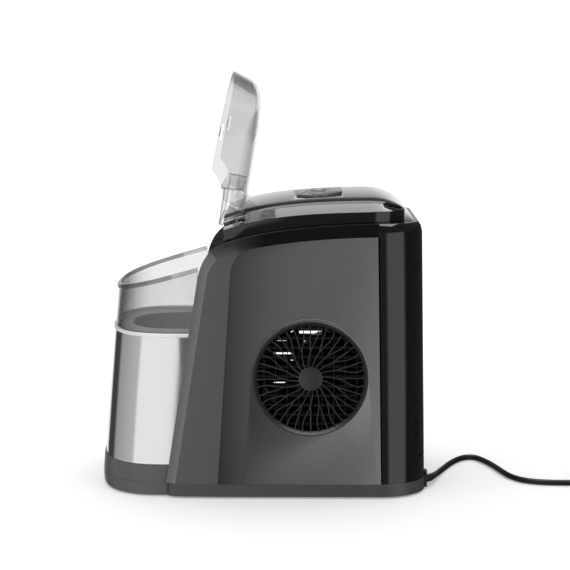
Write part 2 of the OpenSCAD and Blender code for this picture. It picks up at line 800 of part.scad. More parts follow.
module open_lid() {
    translate([0, hinge_y, hinge_z]) rotate([-lid_swing, 0, 0]) translate([0, -hinge_y, -hinge_z])
        children();
}
lid_w = bin_w - 1;
// The lid's plan: the nose of the bin, one wall outside the window.
lid_nose = nose - 9;
function lid_plan(inset) = let (b = lid_w / 2 - inset, a = lid_nose - inset, y = lid_nose_y + lid_nose)
    concat(
        [[b, lid_rear + 1]],
        [
            for (i = [0:nose_steps]) let (t = 180 * i / nose_steps)
            [b * signed_power(cos(t), nose_power), y - a * pow(sin(t), nose_power)]
        ],
        [[-b, lid_rear + 1]]
    );
// The region above the rim, in front of the pillars' arch, that the skirt reaches down to.
skirt_gap = 0.5;
module above_rim() {
    y1 = pillar_top[0];
    arch_pts = [for (i = [1:arch_spans + 1]) front_edge[i] + [-skirt_gap, skirt_gap]];
    translate([-body_w, 0, 0]) rotate([90, 0, 90]) linear_extrude(2 * body_w) polygon(concat(
        [[front_y - 30, deck_z + 60], [front_y - 30, rim_z + skirt_gap + rim_slope * (front_y - 30 - y1)],
            [y1 + 1 - skirt_gap, rim_z + skirt_gap + rim_slope]],
        [for (p = arch_pts) if (p[1] > rim_z + 2) p],
        [[lid_rear, arch_end[1] + 3], [lid_rear, deck_z + 60]]
    ));
}
module lid_solid(extra) {
    intersection() {
        roof(concat([[lid_nose_y - 3, lid_nose_z - 10]], lid_edge), lid_w, extra, 110);
        translate([0, 0, rim_z - 60]) linear_extrude(140) polygon(lid_plan(extra));
    }
}
// The finger slots in the lid's skirts, which run along the rim.
slot_len = 16;
slot_r = 1.5;
slot_lift = 3;
slot_y = hinge_y - 78.4;
module grip_slots() {
    z = rim_z + skirt_gap + rim_slope * (slot_y - pillar_top[0]) + slot_lift;
    translate([-body_w, slot_y, z]) rotate([90, 0, 90]) linear_extrude(2 * body_w)
        rotate(atan(rim_slope)) union() {
            square([slot_len, 2 * slot_r], center = true);
            for (e = [-1, 1]) translate([e * slot_len / 2, 0]) circle(slot_r, $fn = 24);
        }
}
module lid_shell() {
    color([0.55, 0.55, 0.57, 0.5]) open_lid() difference() {
        intersection() {
            lid_solid(0);
            above_rim();
        }
        intersection() {
            lid_solid(lid_t);
            translate([-body_w, front_y, 0]) cube([2 * body_w, lid_rear - front_y + 5, 2 * deck_z]);
        }
        grip_slots();
    }
}

// The cross wall inside the lid and the apron that guides ice out from under the cover.
wall_half = lid_w / 2 - lid_t - 0.3;
wall_depth = 23.2;
apron_half = 83;
module lid_baffle() {
    color([0.6, 0.6, 0.62, 0.5]) {
        translate([0, hinge_y - 16, hinge_z + 35.4]) rotate([-8.5, 0, 0]) linear_extrude(2) polygon([
            [-wall_half, 0], [wall_half, 0], [wall_half, wall_depth - 11],
            [wall_half - shoulder_w, wall_depth], [-wall_half + shoulder_w, wall_depth],
            [-wall_half, wall_depth - 11]
        ]);
        at_hinge(-apron_half, 2 * apron_half) polygon([
            [-11.6, 34.9], [-13.4, 35.1], [-19.3, -3.2], [-19.3, -5.6], [-14.5, -6.4], [-14.5, -4.9],
            [-17.4, -4.3]
        ]);
    }
}
// Arms at both sides that carry the lid on its pins.
module lid_arms() {
    color([0.6, 0.6, 0.62, 0.5]) for (s = [0, 1]) mirror([s, 0, 0]) {
        at_hinge(arm_in, arm_t) union() {
            circle(5.4, $fn = 48);
            polygon([
                [5.2, 0], [7.8, 3.1], [9.4, 7.1], [9.4, 11], [-1.2, 12.5], [-1.5, 32.6], [-4.5, 33.4],
                [-8, 8.8], [-5.2, 0]
            ]);
        }
        translate([arm_in - arm_gap - bearing_w, hinge_y, hinge_z]) rotate([0, 90, 0])
            cylinder(r = pin_r, h = bearing_w + arm_gap + 0.1, $fn = 48);
    }
}

// ---------------------------------------------------------------- fan side

grille_depth = 5;
rib_t = 1;
rib_h = 3;
// Where a rib forks, as a share of the way from the hub to the rim, and how many degrees the rib
// and its branch have turned at such shares.
fork_at = 0.38;
rib_sweep = [
    [0, 11], [0.1, 7.6], [0.2, 4.6], [0.3, 2], [fork_at, 0], [0.5, -3.6], [0.6, -6.5],
    [0.7, -8.6], [0.8, -9.6], [0.9, -9.4], [1, -8]
];
branch_sweep = [[fork_at, 0], [0.5, 0.6], [0.65, 0.7], [0.8, 0.3], [1, 1]];
fork_r = hub_r + fork_at * (grille_r - hub_r);
grille_x = half_w + boss_t - grille_depth;
module on_fan(x) {
    translate([x, fan_y, fan_z]) rotate([90, 0, 90]) children();
}
function rib_share(r) = (r - hub_r) / (grille_r - hub_r);
function rib_angle(r) = lookup(rib_share(r), rib_sweep);
function fork_angle(r) = lookup(rib_share(r), branch_sweep);
function polar(r, a) = [r * cos(a), r * sin(a)];
function rib_side(r0, r1, n, which, off) = [
    for (i = [0:n]) let (r = r0 + (r1 - r0) * i / n, a = which == 0 ? rib_angle(r) : fork_angle(r))
    polar(r, a + off / r * 57.3)
];
module rib(r0, r1, which) {
    near = rib_side(r0, r1, 10, which, rib_t / 2);
    far = rib_side(r0, r1, 10, which, -rib_t / 2);
    polygon(concat(near, backwards(far)));
}
module fan_grille() {
    color([0.12, 0.12, 0.125]) on_fan(grille_x) {
        rotate_extrude($fn = 128) polygon([
            [grille_r, 0], [outlet_r - 0.3, 0], [outlet_r - 0.3, grille_depth], [outlet_r - 1, grille_depth],
            [grille_r, 1]
        ]);
        cylinder(r = hub_r, h = rib_h + 0.6, $fn = 64);
        linear_extrude(rib_h) for (i = [0:ribs - 1]) rotate(360 * i / ribs) {
            rib(hub_r - 0.5, grille_r + 0.5, 0);
            rib(fork_r, grille_r + 0.5, 1);
        }
    }
}

coil_x = grille_x - 14;
coil_half = 56;
coil_z0 = fan_z - (coil_rows - 1) / 2 * coil_pitch;
core_h = (coil_rows - 1) * coil_pitch + 12;
fins = 9;
fin_t = 0.8;
fin_w = 20;
fin_gap = 0.05;
module condenser_tubes() {
    color([0.72, 0.72, 0.7]) for (i = [0:coil_rows - 1])
        translate([coil_x, fan_y - coil_half, coil_z0 + i * coil_pitch]) rotate([-90, 0, 0])
            cylinder(r = coil_r, h = 2 * coil_half, $fn = 24);
}
module condenser_bends() {
    color([0.8, 0.8, 0.78]) {
        for (i = [0:coil_rows - 2]) let (s = i % 2 == 0 ? 1 : -1)
            translate([coil_x, fan_y + s * coil_half, coil_z0 + (i + 0.5) * coil_pitch])
                rotate([0, 90, 0]) rotate_extrude(angle = s * 180, $fn = 32)
                    translate([coil_pitch / 2, 0]) circle(coil_r, $fn = 24);
    }
}
module condenser_fins() {
    color([0.45, 0.45, 0.45]) for (i = [0:fins - 1])
        translate([coil_x, fan_y - coil_half + 6 + i * (2 * coil_half - 12) / (fins - 1), fan_z])
            rotate([90, 0, 0]) linear_extrude(fin_t, center = true) difference() {
                square([fin_w, core_h], center = true);
                for (k = [0:coil_rows - 1]) translate([0, (k - (coil_rows - 1) / 2) * coil_pitch])
                    circle(coil_r + fin_gap, $fn = 16);
            }
}

shroud_x = coil_x - fin_w / 2 - 0.3;
shroud_d = 24;
shroud_t = 2;
shroud_plate = 8;
blade_gap = 1.5;
motor_r = 18;
motor_l = 22;
fan_shaft_r = 3;
module fan_shroud() {
    bore = blade_r + blade_gap;
    plate_x = shroud_d - shroud_plate;
    pan_top = foot_h + pan_floor;
    color([0.15, 0.15, 0.155]) translate([shroud_x - shroud_d, 0, 0]) difference() {
        union() {
            translate([plate_x, fan_y - coil_half - shroud_t, fan_z - core_h / 2])
                cube([shroud_plate, 2 * (coil_half + shroud_t), core_h]);
            on_fan_flat() cylinder(r = bore + shroud_t, h = shroud_d, $fn = 96);
            // Struts to the base pan.
            for (s = [-1, 1]) translate([plate_x, fan_y + s * 40 - 5, pan_top])
                cube([shroud_plate, 10, fan_z - core_h / 2 - pan_top + 0.5]);
        }
        on_fan_flat() translate([0, 0, shroud_t]) cylinder(r = bore, h = shroud_d, $fn = 96);
        // The inlet, crossed by three spokes that carry the motor's seat.
        on_fan_flat() translate([0, 0, -1]) difference() {
            cylinder(r = bore, h = shroud_t + 2, $fn = 96);
            translate([0, 0, -1]) cylinder(r = motor_r + 4, h = shroud_t + 4, $fn = 48);
            for (a = [0:60:179]) rotate(a) translate([-3, -bore - 3, -1])
                cube([6, 2 * bore + 6, shroud_t + 4]);
        }
        on_fan_flat() translate([0, 0, -1]) cylinder(r = fan_shaft_r + 0.2, h = shroud_t + 4, $fn = 24);
    }
}
module on_fan_flat() {
    translate([0, fan_y, fan_z]) rotate([0, 90, 0]) children();
}
motor_x = shroud_x - shroud_d;
module fan_motor() {
    color([0.3, 0.3, 0.3]) translate([motor_x - motor_l, 0, 0]) on_fan_flat() {
        cylinder(r = motor_r, h = motor_l, $fn = 48);
        translate([0, 0, -3]) cylinder(r = 8, h = 3, $fn = 32);
    }
}
blade_x = motor_x + 6;
blades = 7;
module fan_blades() {
    color([0.2, 0.2, 0.21]) translate([blade_x, 0, 0]) on_fan_flat() {
        cylinder(r = 16, h = 14, $fn = 48);
        translate([0, 0, motor_x - blade_x + 0.3])
            cylinder(r = fan_shaft_r, h = blade_x - motor_x, $fn = 24);
        for (i = [0:blades - 1]) rotate(360 * i / blades) translate([14, 0, 7]) rotate([32, 0, 0])
            translate([0, -9, -0.8]) cube([blade_r - 15, 18, 1.6]);
    }
}

// ---------------------------------------------------------------- compressor and pipes

comp_plate = 104;
box_w = 28;
comp_plate_t = 3;
comp_z = foot_h + pan_floor + grommet_h + comp_plate_t;
module compressor() {
    dome = 22;
    color([0.06, 0.06, 0.06]) translate([comp_x, comp_y, comp_z]) {
        rotate_extrude($fn = 96) polygon(concat(
            [[0, 0], [comp_r * 0.6, 0]],
            [for (a = [-90:15:0]) [comp_r - dome * 0.6 + dome * 0.6 * cos(a), dome + dome * sin(a)]],
            [for (a = [0:15:90]) [comp_r - dome + dome * cos(a), comp_h - dome + dome * sin(a)]],
            [[0, comp_h]]
        ));
        difference() {
            translate([-comp_plate / 2, -comp_plate / 2, -comp_plate_t])
                cube([comp_plate, comp_plate, comp_plate_t]);
            for (p = bolt_at) translate([p[0] - comp_x, p[1] - comp_y, -comp_plate_t - 1])
                cylinder(r = bolt_r + 1.6, h = comp_plate_t + 2, $fn = 24);
        }
        translate([-box_w / 2, -comp_r - 11, 50]) cube([box_w, 16, 34]);
    }
}
module compressor_grommets() {
    color([0.1, 0.1, 0.1]) for (p = bolt_at) translate([p[0], p[1], foot_h + pan_floor]) difference() {
        cylinder(r = 8, h = grommet_h, $fn = 32);
        translate([0, 0, -1]) cylinder(r = bolt_r + 0.1, h = grommet_h + 2, $fn = 24);
    }
}
module compressor_bolts() {
    color([0.7, 0.7, 0.7]) for (p = bolt_at) translate([p[0], p[1], foot_h]) {
        cylinder(r = bolt_r, h = pan_floor + grommet_h + 8, $fn = 24);
        translate([0, 0, pan_floor + grommet_h + comp_plate_t + 0.2]) cylinder(r = 5.2, h = 3.4, $fn = 6);
    }
}

pipe_r = 3;
drier_x = comp_x + 34;
drier_y = rear_y - 26;
drier_z = 90;
evap_y = foot_y + 113;
evap_z = deck_z - 34;
evap_h = 8;
comp_top = comp_z + comp_h;
suction_x = -46;
suction_z = evap_z + 24;
module filter_drier() {
    color([0.72, 0.45, 0.25]) translate([drier_x, drier_y, drier_z]) {
        base = foot_h + pan_floor - drier_z;
        rotate_extrude($fn = 48) polygon([
            [0, base], [3, base], [3, 8], [9, 14], [9, 70], [3, 76], [3, 84], [0, 84]
        ]);
    }
}
module discharge_pipe() {
    y1 = fan_y + coil_half;
    z1 = coil_z0 + (coil_rows - 1) * coil_pitch;
    color([0.72, 0.45, 0.25]) tube(through([
        [comp_x + 22, comp_y + 14, comp_top + 0.5], [comp_x + 22, comp_y + 14, comp_top + 18],
        [comp_x + 50, comp_y + 24, comp_top + 34], [coil_x - 26, y1 + 22, z1 + 14],
        [coil_x, y1 + 26, z1 + 2], [coil_x, y1 + 14, z1], [coil_x, y1 + 0.1, z1]
    ], 5), pipe_r, 10);
}
module suction_pipe() {
    color([0.72, 0.45, 0.25]) tube(through([
        [comp_x - 14, comp_y - 10, comp_top + 0.5], [comp_x - 14, comp_y - 10, comp_top + 10],
        [suction_x - 5, max(comp_y - 8, chamber_rear + 15), chamber_z - 6],
        [suction_x, max(comp_y - 8, chamber_rear + 24), suction_z - 40],
        [suction_x, chamber_rear + 12, suction_z - 4],
        [suction_x, chamber_rear - 4, suction_z], [suction_x, evap_y + 8, suction_z],
        [suction_x, evap_y - row_gap / 2, suction_z - 5],
        [suction_x, evap_y - row_gap / 2, evap_z + evap_h + 0.1]
    ], 5), pipe_r, 10);
}
valve_x = 10;
valve_z = deck_z - 92;
module hot_gas_valve() {
    color([0.65, 0.5, 0.3]) translate([valve_x, chamber_rear + 16, valve_z]) {
        cylinder(r = 7, h = 26, $fn = 32);
        translate([-11, -9, 26]) cube([22, 18, 22]);
        translate([0, -6.9, 10]) rotate([90, 0, 0]) cylinder(r = 3, h = 6.8, $fn = 24);
        translate([-12, -15.8, 4]) cube([24, 2.1, 48]);
        translate([-3, -13.8, 46]) cube([6, 6, 2]);
    }
}

// ---------------------------------------------------------------- ice making chamber

finger_rows = [5, 4];
finger_pitch = 27;
finger_r = 5;
finger_h = 28;
row_gap = 26;
bar_w = 11;
bar_half = (finger_rows[0] - 1) / 2 * finger_pitch + 14;
link_w = 12;
hanger_w = 8;
chamber_top = deck_z - 5;
module evaporator() {
    // Two bars, joined at both ends, which hang from the deck on two hangers.
    link_x = bar_half - link_w / 2;
    color([0.75, 0.76, 0.78]) translate([0, evap_y, evap_z]) {
        for (row = [-1, 1]) translate([-bar_half, row * row_gap / 2 - bar_w / 2, 0])
            cube([2 * bar_half, bar_w, evap_h]);
        for (s = [-1, 1]) translate([s * link_x - link_w / 2, -row_gap / 2 + bar_w / 2, 1])
            cube([link_w, row_gap - bar_w, evap_h - 2]);
        for (s = [-1, 1]) translate([s * link_x - hanger_w / 2, -hanger_w, evap_h - 1.5])
            cube([hanger_w, hanger_w, chamber_top - deck_t - evap_z - evap_h + 1]);
    }
}
module freezing_fingers() {
    color([0.85, 0.86, 0.88]) for (row = [0, 1]) for (i = [0:finger_rows[row] - 1])
        translate([
            (i - (finger_rows[row] - 1) / 2) * finger_pitch, evap_y + (row - 0.5) * row_gap, evap_z - finger_h
        ]) {
            cylinder(r1 = finger_r - 1.4, r2 = finger_r, h = finger_h - 6, $fn = 32);
            translate([0, 0, finger_h - 6]) cylinder(r = finger_r, h = 6, $fn = 32);
        }
}
tray_half = chamber_half - 16;
tray_r = 30;
tray_t = 2;
tray_axis_z = evap_z - 12;
shaft_r = 4;
shaft_gap = 0.06;
module along_x() {
    translate([0, evap_y, tray_axis_z]) rotate([0, 90, 0]) children();
}
module water_tray() {
    // A half round trough that turns about its own long axis to tip the water out.
    color([0.88, 0.88, 0.86]) along_x() {
        difference() {
            cylinder(r = tray_r, h = 2 * tray_half, center = true, $fn = 96);
            cylinder(r = tray_r - tray_t, h = 2 * tray_half - 2 * tray_t, center = true, $fn = 96);
            translate([-2 * tray_r - 6, -tray_r - 1, -tray_half - 1])
                cube([2 * tray_r, 2 * tray_r + 2, 2 * tray_half + 2]);
        }
        for (s = [0, 1]) mirror([0, 0, s]) translate([0, 0, tray_half - tray_t / 2])
            cylinder(r = shaft_r, h = chamber_half + 0.2 - tray_half + tray_t / 2, $fn = 32);
    }
}
shovel_r = 36;
shovel_from = 14;
shovel_to = 58;
module ice_shovel() {
    // A curved paddle behind the tray, carried on two rings that turn on the tray's shafts.
    color([0.8, 0.8, 0.8]) {
        along_x() linear_extrude(2 * (chamber_half - 6), center = true) polygon(concat(
            [for (a = [shovel_from:4:shovel_to]) shovel_r * [sin(a), cos(a)]],
            [for (a = [shovel_to:-4:shovel_from]) (shovel_r - 2) * [sin(a), cos(a)]]
        ));
        for (s = [0, 1]) mirror([s, 0, 0]) translate([chamber_half - 8, 0, 0]) along_x() difference() {
            linear_extrude(2) union() {
                circle(shaft_r + 4, $fn = 48);
                polygon([
                    [-5, 2], [5, -2], (shovel_r - 1) * [sin(shovel_to), cos(shovel_to)],
                    (shovel_r - 1) * [sin(shovel_from), cos(shovel_from)]
                ]);
            }
            translate([0, 0, -1]) cylinder(r = shaft_r + shaft_gap, h = 4, $fn = 48);
        }
    }
}
module tray_motor() {
    color([0.85, 0.85, 0.8]) translate([chamber_half + 0.3, 0, 0]) along_x() {
        cylinder(r = 15, h = 12, $fn = 48);
        translate([-8, -21, 0]) cube([16, 42, 3]);
    }
}
chamber_z = deck_z - 106;
chamber_t = 2.5;
module ice_chamber() {
    // The liner that closes off the freezing space; it is open towards the bin.
    depth = chamber_rear - chamber_y;
    h = chamber_top - chamber_z;
    color([0.78, 0.78, 0.78]) difference() {
        translate([-chamber_half, chamber_y, chamber_z]) cube([2 * chamber_half, depth, h]);
        translate([-chamber_half + chamber_t, chamber_y - 1, chamber_z + chamber_t])
            cube([2 * (chamber_half - chamber_t), depth + 1 - chamber_t, h]);
        along_x() cylinder(r = shaft_r + shaft_gap, h = 3 * chamber_half, center = true, $fn = 48);
        translate([suction_x, chamber_rear, suction_z]) rotate([90, 0, 0])
            cylinder(r = pipe_r + 0.5, h = 20, center = true, $fn = 32);
    }
}

// ---------------------------------------------------------------- water and drain

pump_x = 44;
pump_y = tub_back + 24;
pump_z = tub_floor_z + 12;
module water_pump() {
    color([0.2, 0.2, 0.22]) translate([pump_x, pump_y, pump_z]) {
        cylinder(r = 19, h = 30, $fn = 48);
        translate([0, 0, 15]) rotate([90, 0, 0]) cylinder(r = 5, h = 24 - 0.2, $fn = 32);
        translate([0, 0, 30]) cylinder(r = 4, h = 14, $fn = 32);
        translate([-6, -6, -pump_z + foot_h + pan_floor]) cube([12, 12, pump_z - foot_h - pan_floor]);
    }
}
module water_hose() {
    color([0.75, 0.78, 0.8]) tube(through([
        [pump_x, pump_y, pump_z + 44.2], [pump_x, pump_y, pump_z + 70],
        [pump_x + 16, pump_y + 2, chamber_z - 30], [pump_x + 20, pump_y + 2, chamber_z - 12],
        [pump_x + 20, pump_y + 2, chamber_z - 0.3]
    ], 4), 4.5, 10);
}
spout_r = 7;
drain_y = foot_y + 43;
drain_z = tub_floor_z + 12;
drain_in = bin_w / 2 - tub_inset(drain_z) + 0.8;
drain_out = half_w - wall - 0.2;
spout_bore = spout_r - 2.5;
// Along the drain, from the middle of the machine out through the left side.
module along_drain() {
    translate([0, drain_y, drain_z]) rotate([0, -90, 0]) children();
}
module drain_spout() {
    color([0.2, 0.2, 0.2]) along_drain() translate([0, 0, drain_in]) difference() {
        cylinder(r = spout_r, h = drain_out - drain_in, $fn = 48);
        translate([0, 0, -1]) cylinder(r = spout_bore, h = drain_out, $fn = 48);
    }
}
module drain_plug() {
    color([0.85, 0.85, 0.83]) along_drain() {
        translate([0, 0, drain_out + 0.1]) cylinder(r = spout_r - 0.2, h = wall + 0.1, $fn = 48);
        translate([0, 0, drain_out - 14]) cylinder(r = spout_bore - shaft_gap, h = 14.5, $fn = 48);
    }
}
sensor_z = steel_z + 30;
module ice_full_sensors() {
    color([0.1, 0.1, 0.1]) for (s = [0, 1]) mirror([s, 0, 0])
        translate([half_w - 15, tub_back - 12, sensor_z]) cube([10.5, 10, 10]);
}

// ---------------------------------------------------------------- small parts

screw_r = 1.8;
module rubber_feet() {
    color([0.06, 0.06, 0.06]) for (p = feet) translate([p[0], p[1], 0]) difference() {
        cylinder(r = foot_r, h = foot_h, $fn = 48);
        translate([0, 0, -1]) cylinder(r = 4, h = 2.4, $fn = 32);
        cylinder(r = screw_r + 0.2, h = foot_h + 1, $fn = 24);
    }
}
module base_screws() {
    color([0.7, 0.7, 0.7]) for (p = feet) translate([p[0], p[1], 0.4]) {
        cylinder(r = 3.6, h = 1, $fn = 32);
        cylinder(r = screw_r, h = 9, $fn = 24);
    }
}
module rear_screws() {
    color([0.3, 0.3, 0.3]) for (p = rear_screw_at)
        translate([p[0], rear_y - lean_at(p[1]) + 0.15, p[1]]) rotate([-90, 0, 0]) {
            cylinder(r = 3.4, h = 1.4, $fn = 32);
            translate([0, 0, -8]) cylinder(r = screw_r, h = 8.5, $fn = 24);
        }
}

// ---------------------------------------------------------------- mains cord

cord_x = 70;
cord_z = 11;
gland_w = 12;
gland_h = 18;
gland_t = 2.8;
// The free stretch of the cord, from the gland to the coil, measured from the middle of the
// rear wall's foot. It lies on the table.
cord_route = [
    for (p = [
        [cord_x, gland_t, cord_z], [59.9, 6.7, 9.4], [49.5, 10, 8.2], [39.1, 13.2, 7],
        [28.6, 16.2, 5.9], [18.1, 19.1, 5], [5.7, 22.8, 4.2], [-6.6, 26.6, 3.6],
        [-18.8, 30.9, 3.4], [-30.9, 35.5, 3.4], [-42.7, 40.7, 3.4], [-54.2, 46.8, 3.4],
        [-59.2, 50, 3.4], [-63.8, 53.8, 3.4], [-67.4, 58.6, 3.4], [-68.5, 64.3, 3.4],
        [-65.7, 69.5, 3.4], [-60.9, 73, 3.4], [-55.6, 75.7, 3.4], [-43.5, 80.4, 3.4],
        [-31.2, 84.4, 3.4], [-18.7, 87.7, 3.4], [-6.1, 90.7, 3.4], [6.5, 93.7, 3.4],
        [19, 97.1, 3.4], [31.1, 101.7, 3.4], [42.1, 108.4, 3.4], [50.5, 118.1, 3.4],
        [55.5, 130, 3.4], [57.8, 142.7, 3.4], [58.5, 155.6, 3.4], [58.3, 168.6, 3.4],
        [57.8, 181.5, 3.4], [57.5, 194.5, 3.4], [57.5, 207.4, 3.4]
    ]) p + [0, rear_y, 0]
];
// The route's points that the gland's boot covers.
boot_points = 4;
boot_step = 0.3;
coil_mid = [13.5, rear_y + 222.4, 0];
coil_out_r = 44;
coil_in_r = 26.5;
coil_end_r = 41;
module cord_gland() {
    // A flat flange on the rear wall and a tapered boot that leads the cord away sideways.
    color([0.05, 0.05, 0.05]) {
        translate([cord_x - gland_w / 2, rear_y, cord_z - gland_h / 2 + 0.5])
            cube([gland_w, gland_t, gland_h]);
        loft([
            for (i = [0:boot_points - 1]) let (
                h = i == 0 ? [0, 1, 0] : unit(cord_route[i + 1] - cord_route[i]),
                u = side_of(h, [0, 0, 1]),
                v = cross(h, u),
                r = cord_r + boot_step * (boot_points - i)
            )
            [for (k = [0:15]) let (a = 22.5 * k) cord_route[i] + r * (cos(a) * u + sin(a) * v)]
        ]);
    }
}
module power_cord() {
    free = [for (i = [boot_points - 1:len(cord_route) - 1]) cord_route[i]];
    color([0.05, 0.05, 0.05]) tube(free, cord_r, 12);
}
module cord_coil() {
    // A lower and an upper layer of turns, as one closed ring.
    color([0.05, 0.05, 0.05]) translate(coil_mid) rotate_extrude($fn = 96) polygon([
        [coil_in_r - cord_r, 0], [coil_out_r + cord_r, 0], [coil_out_r + cord_r, 2 * cord_r],
        [coil_end_r + cord_r, 4 * cord_r], [coil_in_r - cord_r, 4 * cord_r]
    ]);
}
plug_x = coil_mid[0] + coil_end_r;
plug_y = coil_mid[1] + 46;
plug_z = 13;
module plug_body() {
    color([0.05, 0.05, 0.05]) translate([plug_x, plug_y, plug_z]) rotate([-90, 0, 0]) {
        linear_extrude(28) union() {
            circle(12.6, $fn = 64);
            translate([-12.6, 0]) square([25.2, 11]);
        }
        translate([0, 0, -20]) cylinder(r1 = cord_r + 0.6, r2 = cord_r + 3, h = 20, $fn = 32);
    }
}
module plug_pins() {
    color([0.8, 0.7, 0.4]) translate([plug_x, plug_y + 28, plug_z]) {
        for (s = [-1, 1]) translate([s * 6.35 - 0.75, 0, -6.5]) cube([1.5, 16, 6.4]);
        translate([0, 0, 6]) rotate([-90, 0, 0]) cylinder(r = 2.4, h = 20, $fn = 32);
    }
}

base_pan();
front_plinth();
front_band();
steel_wrap();
trim_ring();
bin_window();
bin_tub();
tub_insulation();
ice_basket();
right_frame();
left_frame();
right_side_panel();
left_side_panel();
rear_cover();
rear_grille();
deck_plate();
top_cover();
top_plate();
control_pod();
power_button();
select_button();
indicator_lenses();
control_board();
lid_shell();
lid_baffle();
lid_arms();
fan_grille();
condenser_tubes();
condenser_bends();
condenser_fins();
fan_shroud();
fan_motor();
fan_blades();
compressor();
compressor_grommets();
compressor_bolts();
filter_drier();
discharge_pipe();
suction_pipe();
hot_gas_valve();
evaporator();
freezing_fingers();
water_tray();
tray_motor();
ice_shovel();
ice_chamber();
water_pump();
water_hose();
drain_spout();
drain_plug();
ice_full_sensors();
rubber_feet();
base_screws();
rear_screws();
cord_gland();
power_cord();
cord_coil();
plug_body();
plug_pins();
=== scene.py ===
"""Looks of a countertop ice maker: finishes, rounded skins, control panel, mains lead and studio."""

from __future__ import annotations

import json
import logging
import math
from dataclasses import dataclass, field
from enum import Enum
from typing import Callable, Iterable, Mapping, Sequence, Union

import bmesh
import bpy
from mathutils import Matrix, Vector

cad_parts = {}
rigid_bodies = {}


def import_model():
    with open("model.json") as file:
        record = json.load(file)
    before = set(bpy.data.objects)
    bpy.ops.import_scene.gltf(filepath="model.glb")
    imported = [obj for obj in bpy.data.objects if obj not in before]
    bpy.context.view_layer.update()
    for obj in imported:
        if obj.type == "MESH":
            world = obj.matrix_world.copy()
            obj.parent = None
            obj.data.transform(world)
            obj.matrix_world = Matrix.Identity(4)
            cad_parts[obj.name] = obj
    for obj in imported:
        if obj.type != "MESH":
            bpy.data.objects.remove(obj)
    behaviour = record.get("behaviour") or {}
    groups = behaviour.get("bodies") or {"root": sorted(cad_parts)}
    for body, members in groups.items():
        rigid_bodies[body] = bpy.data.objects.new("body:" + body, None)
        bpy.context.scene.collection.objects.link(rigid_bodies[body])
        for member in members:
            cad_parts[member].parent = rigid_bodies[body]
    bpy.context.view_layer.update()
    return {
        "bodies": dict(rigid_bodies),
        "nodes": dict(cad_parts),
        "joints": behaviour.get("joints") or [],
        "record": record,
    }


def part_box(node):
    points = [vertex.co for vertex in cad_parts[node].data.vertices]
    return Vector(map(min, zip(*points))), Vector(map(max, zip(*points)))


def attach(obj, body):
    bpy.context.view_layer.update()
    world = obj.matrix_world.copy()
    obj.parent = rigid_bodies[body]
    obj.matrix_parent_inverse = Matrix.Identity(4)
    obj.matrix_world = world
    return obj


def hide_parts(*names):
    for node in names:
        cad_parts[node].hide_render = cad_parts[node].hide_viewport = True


log = logging.getLogger("ice_maker")

MM = 0.001
# A face whose normal has more than this along an axis counts as looking along it.
SQUARE_ON = 0.9
# Rings and marks are shaded smoothly across edges flatter than this many degrees.
RING_SMOOTH = 60.0
Point = tuple[float, float, float]
Colour = tuple[float, float, float]
Input = Union["Value", float, Colour]
Key = Union[int, str]


# ---------------------------------------------------------------- shader values


class Value:
    """A shader output that can be added, multiplied and mixed like a number."""

    def __init__(self, shade: "Shade", socket: bpy.types.NodeSocket | None) -> None:
        """Keeps the tree and the output socket that the value comes from."""
        self.shade = shade
        self.socket = socket

    def _math(self, operation: str, first: "Value | float", second: "Value | float") -> "Value":
        """Makes one maths node.

        Args:
            operation: the node's operation.
            first: the first operand.
            second: the second operand.

        Returns:
            The node's output.
        """
        return self.shade.node("ShaderNodeMath", {"operation": operation}, {0: first, 1: second})

    def __add__(self, other: "Value | float") -> "Value":
        """Sum."""
        return self._math("ADD", self, other)

    def __radd__(self, other: float) -> "Value":
        """Sum with a number in front."""
        return self._math("ADD", other, self)

    def __sub__(self, other: "Value | float") -> "Value":
        """Difference."""
        return self._math("SUBTRACT", self, other)

    def __rsub__(self, other: float) -> "Value":
        """Difference from a number."""
        return self._math("SUBTRACT", other, self)

    def __mul__(self, other: "Value | float") -> "Value":
        """Product."""
        return self._math("MULTIPLY", self, other)

    def __rmul__(self, other: float) -> "Value":
        """Product with a number in front."""
        return self._math("MULTIPLY", other, self)

    def __truediv__(self, other: "Value | float") -> "Value":
        """Quotient."""
        return self._math("DIVIDE", self, other)

    def __rtruediv__(self, other: float) -> "Value":
        """A number divided by this value."""
        return self._math("DIVIDE", other, self)

    def __pow__(self, other: "Value | float") -> "Value":
        """Power."""
        return self._math("POWER", self, other)

    def __rpow__(self, other: float) -> "Value":
        """A number raised to this value."""
        return self._math("POWER", other, self)

    def clamped(self) -> "Value":
        """The same value, kept between 0 and 1."""
        return self.shade.node("ShaderNodeClamp", inputs={"Value": self})

    def rising(self, low: float, high: float) -> "Value":
        """A straight ramp from 0 at low to 1 at high.

        Args:
            low: where the ramp starts.
            high: where it ends.

        Returns:
            The ramp, kept between 0 and 1.
        """
        return ((self - low) / (high - low)).clamped()

    def between(self, first: "Value | Colour", second: "Value | Colour") -> "Value":
        """A colour that goes from first to second as this value goes from 0 to 1.

        Args:
            first: the colour at 0.
            second: the colour at 1.

        Returns:
            The mixed colour.
        """
        return self.shade.node(
            "ShaderNodeMix", {"data_type": "RGBA"}, {0: self, 6: first, 7: second}, output=2
        )


